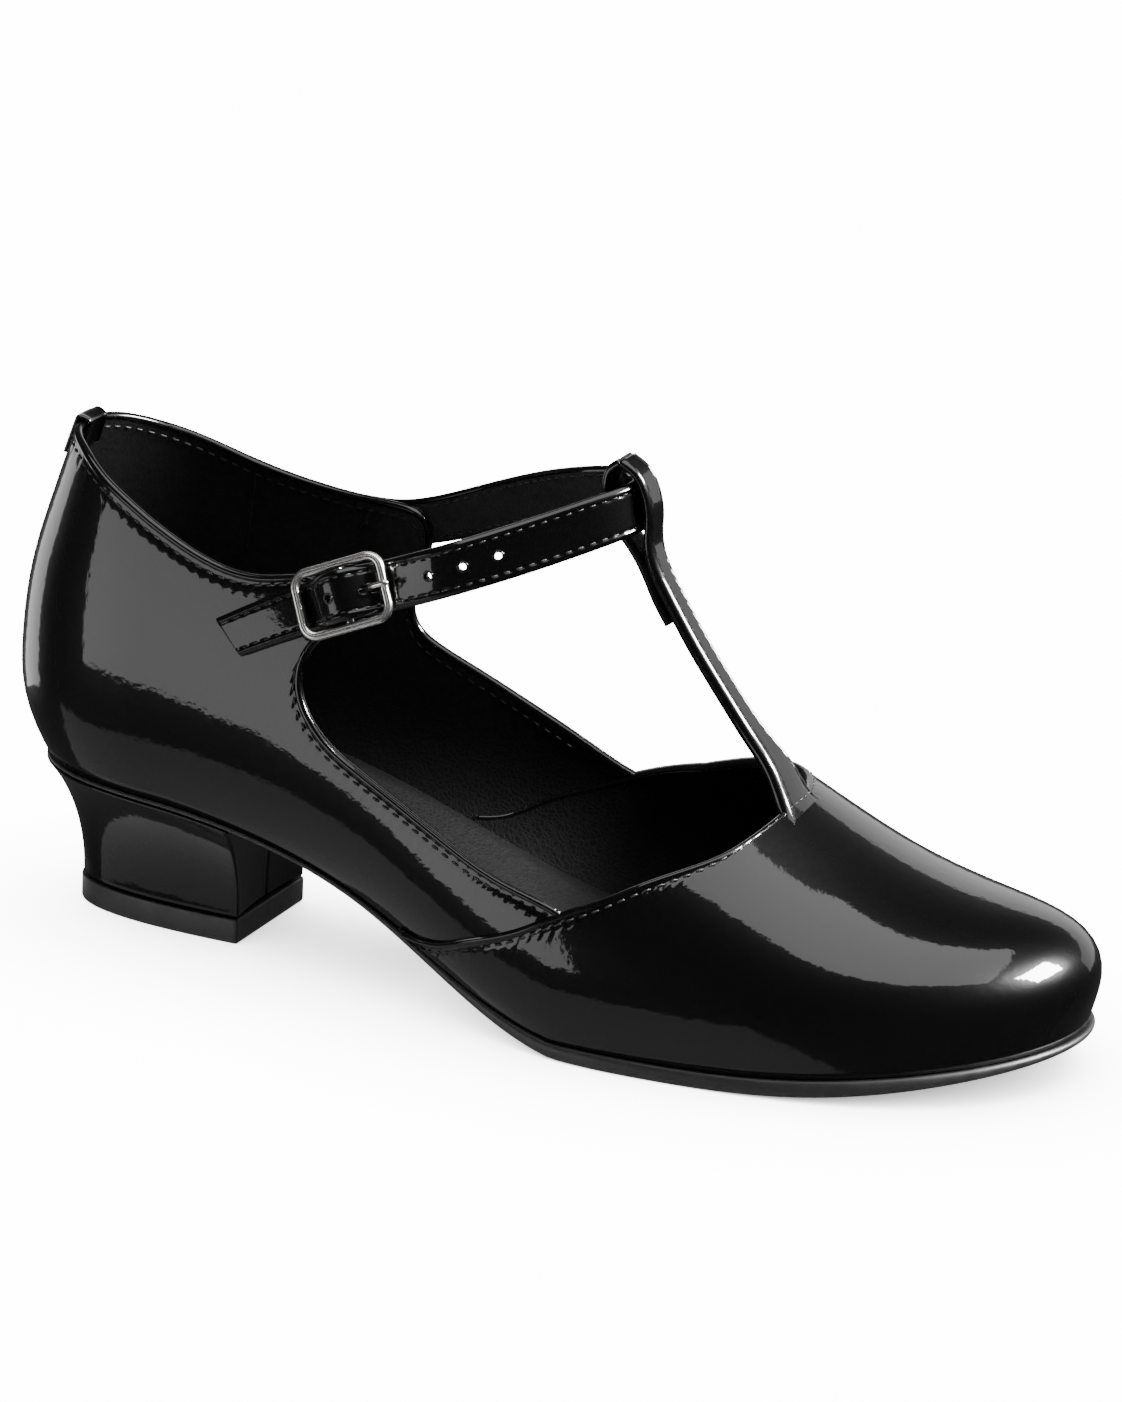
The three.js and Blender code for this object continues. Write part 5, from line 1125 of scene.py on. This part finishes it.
class SHOE_OT_buckle(Operator):
    """Builds the nickel buckle's frame with its centre bar, and the prong with its eye"""
    bl_idname = "shoe.buckle"
    bl_label = "Buckle"

    def execute(self, context):
        line, at = ankle_line()
        _, origin, e1, e2, e3 = buckle_frame_axes(line, at)
        place = lambda a, b, c: origin + a[..., None] * e1 + b[..., None] * e2 + c[..., None] * e3
        radius = BUCKLE_CORNER - BUCKLE_BAR / 2
        corner, path = np.linspace(0, np.pi / 2, 16), []
        for quarter, (a, b) in enumerate(((1, 1), (-1, 1), (-1, -1), (1, -1))):
            turn = corner + quarter * np.pi / 2
            path.append(np.stack([a * (FRAME_HALF_LENGTH - radius) + radius * np.cos(turn),
                                  b * (FRAME_HALF_WIDTH - radius) + radius * np.sin(turn)], -1))
        path = spread(np.concatenate([*path, path[0][:1]]), 181)[:-1]
        tangent = unit(np.roll(path, -1, 0) - np.roll(path, 1, 0))
        outward = np.stack([tangent[:, 1], -tangent[:, 0]], -1)
        turn = np.linspace(0, 2 * np.pi, 32, endpoint=False)
        bar = BUCKLE_BAR / 2 * (1.0 - 0.14 * np.exp(-((turn - np.pi / 2) / 0.3) ** 2))
        flat, rise = bar * np.cos(turn) * 0.98, bar * np.sin(turn)
        xy = path[:, None] + outward[:, None] * flat[None, :, None]
        ring = place(xy[..., 0], xy[..., 1], FRAME_OUT + np.broadcast_to(rise, xy.shape[:2]))
        span = np.linspace(-FRAME_HALF_WIDTH, FRAME_HALF_WIDTH, 30)
        centre = place(0 * span, span, BAR_OUT + 0 * span)
        rod = tube_grid(centre, np.tile(e3, (30, 1)), CENTRE_BAR / 2, CENTRE_BAR / 2, 16)
        build("buckle_frame_fine", [(ring, True, True, 0), (rod, False, True, 0)], ("polished_nickel",),
              ["buckle_frame"])
        rows = np.stack([PRONG_PATH["along"] * PRONG_REACH, PRONG_PATH["out"], PRONG_PATH["girth"]], -1)
        curve = spline(PRONG_PATH["along"], rows)
        run = curve(np.linspace(PRONG_PATH["along"][0], 1.0, 60))
        out = BAR_OUT + (PRONG_OUT - BAR_OUT) * run[:, 1]
        pin = place(run[:, 0], 0 * out, out)
        girth = PRONG_DIAMETER / 2 * run[:, 2]
        girth[-4:] *= (0.95, 0.85, 0.65, 0.35)
        needle = tube_grid(pin, np.tile(e2, (60, 1)), girth, girth, 18)
        inner = CENTRE_BAR / 2 + PRONG_EYE_PLAY
        turn = np.linspace(0, 2 * np.pi, 41)
        middle = inner + PRONG_EYE_THICKNESS / 2
        hoop = place(middle * np.cos(turn), 0 * turn, BAR_OUT + middle * np.sin(turn))
        eye = tube_grid(hoop, np.tile(e2, (41, 1)), PRONG_EYE_WIDTH / 2, PRONG_EYE_THICKNESS / 2, 14, False)
        build("buckle_prong_fine", [(needle, False, True, 0), (eye[:-1], True, True, 0)], ("polished_nickel",),
              ["buckle_prong"])
        return {"FINISHED"}


class SHOE_OT_tab(Operator):
    """Builds the folded patent tab over the back of the collar"""
    bl_idname = "shoe.tab"
    bl_label = "Back tab"

    def execute(self, context):
        half = TAB_THICKNESS / 2
        outside, inside = QUARTER_WALL + GAP + half, -GAP - half
        radius = (outside - inside) / 2
        turn = np.linspace(0, np.pi, 19)
        path = np.concatenate([
            np.stack([np.full(24, outside), np.linspace(-TAB_OUTSIDE, -0.4, 24)], -1),
            np.stack([(outside + inside) / 2 + radius * np.cos(turn), radius * 0.36 * np.sin(turn)], -1),
            np.stack([np.full(20, inside), np.linspace(-0.4, -TAB_INSIDE, 20)], -1)])
        path = spread(path, 90)
        tangent = unit(np.gradient(path, axis=0))
        normal = np.stack([-tangent[:, 1], tangent[:, 0]], -1) * -1
        wide = TAB_WIDTH / 2
        face = np.linspace(-(wide - half), wide - half, 25)
        arc = np.radians(np.linspace(90, -90, 9))[1:-1]
        section = np.concatenate([
            np.stack([face, np.full(25, half) + 0.1 * np.exp(-((wide - half - np.abs(face)) / 0.5) ** 2)], -1),
            np.stack([wide - half + half * np.cos(arc), half * np.sin(arc)], -1),
            np.stack([face[::-1], np.full(25, -half)], -1),
            np.stack([-(wide - half) - half * np.cos(arc), -half * np.sin(arc)], -1)])
        out = path[:, None, 0] + normal[:, None, 0] * section[None, :, 1]
        up = path[:, None, 1] + normal[:, None, 1] * section[None, :, 1]
        b = np.broadcast_to(section[None, :, 0], out.shape)
        spot = at_height(np.abs(b), COLLAR_HEIGHT + up, np.where(b < 0, -1.0, 1.0))
        grid = close_ends(off_last(spot, out))
        build("back_tab_fine", [(grid, False, True, 0)], ("patent_leather",), ["back_tab"])
        return {"FINISHED"}


# Finishes
def new_material(name):
    """Empty node material: returns it with its tree and its Principled shader."""
    material = bpy.data.materials.new(name)
    material.use_nodes = True
    tree = material.node_tree
    return material, tree, tree.nodes["Principled BSDF"]


def object_noise(tree, scale, detail=3.0, roughness=0.5, coordinates=None):
    """Noise over the object's own coordinates."""
    if coordinates is None:
        coordinates = tree.nodes.new("ShaderNodeTexCoord").outputs["Object"]
    noise = tree.nodes.new("ShaderNodeTexNoise")
    noise.inputs["Scale"].default_value = scale
    noise.inputs["Detail"].default_value = detail
    noise.inputs["Roughness"].default_value = roughness
    tree.links.new(coordinates, noise.inputs["Vector"])
    return noise.outputs["Fac"]


def add_bump(tree, height, strength, distance, below=None):
    """Bump of a height in metres, on top of another one."""
    bump = tree.nodes.new("ShaderNodeBump")
    bump.inputs["Strength"].default_value = strength
    bump.inputs["Distance"].default_value = distance
    tree.links.new(height, bump.inputs["Height"])
    if below is not None:
        tree.links.new(below, bump.inputs["Normal"])
    return bump.outputs["Normal"]


def ranged(tree, value, low, high):
    """Value from 0 to 1 spread over a range."""
    spread_node = tree.nodes.new("ShaderNodeMapRange")
    spread_node.inputs["To Min"].default_value = low
    spread_node.inputs["To Max"].default_value = high
    tree.links.new(value, spread_node.inputs["Value"])
    return spread_node.outputs["Result"]


def patent_material(finish):
    """Black patent: dark base under a clear coat, with a faint swell and orange peel."""
    _, tree, shader = new_material("patent_leather")
    shader.inputs["Base Color"].default_value = (*finish.patent_color, 1.0)
    shader.inputs["Roughness"].default_value = 0.3
    shader.inputs["Specular IOR Level"].default_value = 0.1
    shader.inputs["Coat Weight"].default_value = 1.0
    shader.inputs["Coat Roughness"].default_value = finish.patent_roughness
    shader.inputs["Coat IOR"].default_value = 1.47
    swell = add_bump(tree, object_noise(tree, 55.0, 2.0), 1.0, 0.00012)
    peel = add_bump(tree, object_noise(tree, 480.0, 3.0), 1.0, 0.00003, swell)
    tree.links.new(peel, shader.inputs["Normal"])
    tree.links.new(peel, shader.inputs["Coat Normal"])


def lining_material(finish, name, scale, depth):
    """Matt leather with a pebbled grain: cells of Voronoi softened by noise."""
    _, tree, shader = new_material(name)
    coordinates = tree.nodes.new("ShaderNodeTexCoord").outputs["Object"]
    warp = tree.nodes.new("ShaderNodeVectorMath")
    warp.operation = "MULTIPLY_ADD"
    shift = tree.nodes.new("ShaderNodeTexNoise")
    shift.inputs["Scale"].default_value = scale * 0.35
    tree.links.new(coordinates, shift.inputs["Vector"])
    tree.links.new(shift.outputs["Color"], warp.inputs[0])
    warp.inputs[1].default_value = (1.6 / scale,) * 3
    tree.links.new(coordinates, warp.inputs[2])
    cells = tree.nodes.new("ShaderNodeTexVoronoi")
    cells.feature = "DISTANCE_TO_EDGE"
    cells.inputs["Scale"].default_value = scale
    tree.links.new(warp.outputs["Vector"], cells.inputs["Vector"])
    grain = ranged(tree, cells.outputs["Distance"], 0.0, 1.0)
    tree.nodes[-1].inputs["From Max"].default_value = 0.22
    low = add_bump(tree, object_noise(tree, 140.0, 3.0, 0.55, coordinates), 1.0, depth * 2.0)
    fine = add_bump(tree, grain, 1.0, depth, low)
    tree.links.new(fine, shader.inputs["Normal"])
    ramp = tree.nodes.new("ShaderNodeMix")
    ramp.data_type = "RGBA"
    tree.links.new(object_noise(tree, 60.0, 3.0, 0.5, coordinates), ramp.inputs[0])
    ramp.inputs[6].default_value = (*[0.7 * part for part in finish.lining_color], 1.0)
    ramp.inputs[7].default_value = (*[1.5 * part for part in finish.lining_color], 1.0)
    tree.links.new(ramp.outputs[2], shader.inputs["Base Color"])
    tree.links.new(ranged(tree, grain, 0.66, 0.52), shader.inputs["Roughness"])
    shader.inputs["Specular IOR Level"].default_value = 0.12


def rubber_material():
    """Satin rubber with a dusty grain."""
    _, tree, shader = new_material("satin_rubber")
    ramp = tree.nodes.new("ShaderNodeMix")
    ramp.data_type = "RGBA"
    tree.links.new(object_noise(tree, 220.0, 5.0, 0.6), ramp.inputs[0])
    ramp.inputs[6].default_value = (0.0018, 0.0018, 0.0018, 1.0)
    ramp.inputs[7].default_value = (0.0045, 0.0045, 0.0045, 1.0)
    tree.links.new(ramp.outputs[2], shader.inputs["Base Color"])
    tree.links.new(ranged(tree, object_noise(tree, 350.0, 4.0), 0.34, 0.6), shader.inputs["Roughness"])
    tree.links.new(add_bump(tree, object_noise(tree, 2400.0, 3.0), 1.0, 0.00003), shader.inputs["Normal"])


def nickel_material(finish):
    """Polished nickel with fine scratches and a little haze."""
    _, tree, shader = new_material("polished_nickel")
    shader.inputs["Base Color"].default_value = (*finish.metal_color, 1.0)
    shader.inputs["Metallic"].default_value = 1.0
    haze = object_noise(tree, 700.0, 4.0, 0.6)
    tree.links.new(ranged(tree, haze, 0.24, 0.28), shader.inputs["Roughness"])
    tree.links.new(add_bump(tree, object_noise(tree, 2600.0, 3.0), 1.0, 0.000001), shader.inputs["Normal"])


def thread_material():
    """Waxed black thread: fine twist bands and a soft sheen."""
    _, tree, shader = new_material("waxed_thread")
    shader.inputs["Base Color"].default_value = (0.002, 0.002, 0.0022, 1.0)
    tree.links.new(ranged(tree, object_noise(tree, 1500.0, 3.0), 0.45, 0.65), shader.inputs["Roughness"])
    wave = tree.nodes.new("ShaderNodeTexWave")
    wave.inputs["Scale"].default_value = 1100.0
    wave.inputs["Distortion"].default_value = 1.0
    tree.links.new(tree.nodes.new("ShaderNodeTexCoord").outputs["Object"], wave.inputs["Vector"])
    tree.links.new(add_bump(tree, wave.outputs["Fac"], 1.0, 0.00004), shader.inputs["Normal"])


class SHOE_OT_finishes(Operator):
    """Makes the leather, rubber, thread and metal finishes, and gives the kept solids theirs"""
    bl_idname = "shoe.finishes"
    bl_label = "Finishes"

    def execute(self, context):
        finish = context.scene.shoe_finish
        patent_material(finish)
        lining_material(finish, "lining_leather", 900.0, 0.00004)
        lining_material(finish, "sock_leather", 900.0, 0.00005)
        rubber_material()
        nickel_material(finish)
        thread_material()
        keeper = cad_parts["buckle_keeper"]
        keeper.data.materials.clear()
        keeper.data.materials.append(bpy.data.materials["patent_leather"])
        return {"FINISHED"}


# Stage
def add_object(name, data):
    item = bpy.data.objects.new(name, data)
    bpy.context.scene.collection.objects.link(item)
    return item


def aim(origin, target):
    """Matrix of something at origin that looks at target along its own -Z."""
    back = (Vector(origin) - Vector(target)).normalized()
    right = Vector((0.0, 0.0, 1.0)).cross(back).normalized()
    up = back.cross(right)
    matrix = Matrix((right, up, back)).transposed().to_4x4()
    matrix.translation = origin
    return matrix


def soft_box(name, origin, target, size, power):
    """Rectangular area light that looks at a target."""
    light = bpy.data.lights.new(name, "AREA")
    light.shape = "RECTANGLE"
    light.size, light.size_y = size
    light.energy = power
    item = add_object(name, light)
    item.matrix_world = aim(origin, target)
    item.visible_diffuse = False


class SHOE_OT_stage(Operator):
    """Builds the floor, whose glow carries a painted contact shadow, the soft studio lights and the camera"""
    bl_idname = "shoe.stage"
    bl_label = "Studio"

    def execute(self, context):
        stage = context.scene.shoe_stage
        material, tree, shader = new_material("floor_paper")
        shader.inputs["Base Color"].default_value = (*stage.floor_color, 1.0)
        shader.inputs["Roughness"].default_value = 0.7
        shader.inputs["Specular IOR Level"].default_value = 0.2
        shader.inputs["Emission Color"].default_value = (1.0, 1.0, 1.0, 1.0)
        # Painted contact shadow: the floor's own glow is multiplied by ambient occlusion, so it is darker under and
        # beside the shoe
        shade = tree.nodes.new("ShaderNodeAmbientOcclusion")
        shade.inputs["Distance"].default_value = FLOOR_SHADE_REACH
        glow = tree.nodes.new("ShaderNodeMath")
        glow.operation = "MULTIPLY"
        glow.inputs[1].default_value = stage.floor_glow
        tree.links.new(shade.outputs["AO"], glow.inputs[0])
        tree.links.new(glow.outputs["Value"], shader.inputs["Emission Strength"])
        half = FLOOR_HALF
        mesh = bpy.data.meshes.new("floor")
        mesh.from_pydata([(-half, -half, 0), (half, -half, 0), (half, half, 0), (-half, half, 0)], [], [(0, 1, 2, 3)])
        mesh.materials.append(material)
        floor = add_object("floor", mesh)
        floor.visible_glossy = False
        floor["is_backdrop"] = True
        world = bpy.data.worlds.new("studio")
        world.use_nodes = True
        world.node_tree.nodes["Background"].inputs["Color"].default_value = (1.0, 1.0, 1.0, 1.0)
        world.node_tree.nodes["Background"].inputs["Strength"].default_value = stage.fill
        context.scene.world = world
        sun = bpy.data.lights.new("sky", "SUN")
        sun.angle = math.radians(75)
        sun.energy = stage.sky
        sky = add_object("sky", sun)
        sky.matrix_world = aim((0.1, 0.3, 1.5), (0.1, 0.0, 0.0))
        sky.visible_glossy = False
        for name, (azimuth, elevation, distance, size, radiance) in SOFT_BOXES.items():
            turn, rise = math.radians(azimuth), math.radians(elevation)
            way = Vector((math.cos(turn) * math.cos(rise), math.sin(turn) * math.cos(rise), math.sin(rise)))
            target = Vector(BOX_TARGETS.get(name, VIEW_TARGET))
            power = radiance * math.pi * size[0] * size[1] * stage.boxes
            soft_box(name, target + way * distance, target, size, power)
        lens = bpy.data.cameras.new("camera")
        lens.sensor_width = 36.0
        lens.lens = 36.0 * FOCAL_PIXELS / PICTURE_HEIGHT
        camera = add_object("camera", lens)
        azimuth, elevation = math.radians(VIEW_AZIMUTH), math.radians(VIEW_ELEVATION)
        back = Vector((math.sin(azimuth) * math.cos(elevation),
                       -math.cos(azimuth) * math.cos(elevation), math.sin(elevation)))
        target = Vector(VIEW_TARGET)
        view = aim(target + back * VIEW_DISTANCE, target)
        camera.matrix_world = view @ Matrix.Rotation(math.radians(VIEW_ROLL), 4, "Z")
        context.scene.camera = camera
        return {"FINISHED"}


class SHOE_PT_panel(Panel):
    bl_idname = "SHOE_PT_panel"
    bl_label = "Dance Shoe"
    bl_space_type = "VIEW_3D"
    bl_region_type = "UI"
    bl_category = "Dance Shoe"

    def draw(self, context):
        layout = self.layout
        for group in (context.scene.shoe_stage, context.scene.shoe_finish):
            for name in group.__annotations__:
                layout.prop(group, name)
        for operator in OPERATORS:
            layout.operator(operator.bl_idname)


OPERATORS = (SHOE_OT_stage, SHOE_OT_finishes, SHOE_OT_upper, SHOE_OT_bottom, SHOE_OT_straps,
             SHOE_OT_buckle, SHOE_OT_tab)
CLASSES = (ShoeStage, ShoeFinish, *OPERATORS, SHOE_PT_panel)


def register():
    for item in CLASSES:
        bpy.utils.register_class(item)
    bpy.types.Scene.shoe_stage = PointerProperty(type=ShoeStage)
    bpy.types.Scene.shoe_finish = PointerProperty(type=ShoeFinish)


def unregister():
    del bpy.types.Scene.shoe_finish
    del bpy.types.Scene.shoe_stage
    for item in reversed(CLASSES):
        bpy.utils.unregister_class(item)


def main():
    register()
    bpy.ops.shoe.stage()
    bpy.ops.shoe.finishes()
    bpy.ops.shoe.upper()
    bpy.ops.shoe.bottom()
    bpy.ops.shoe.straps()
    bpy.ops.shoe.buckle()
    bpy.ops.shoe.tab()
    boxes = {"cad": [list(corner) for corner in CAD_BOX],
             "visual": [list(corner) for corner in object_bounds()]}


if __name__ == "__main__":
    main()
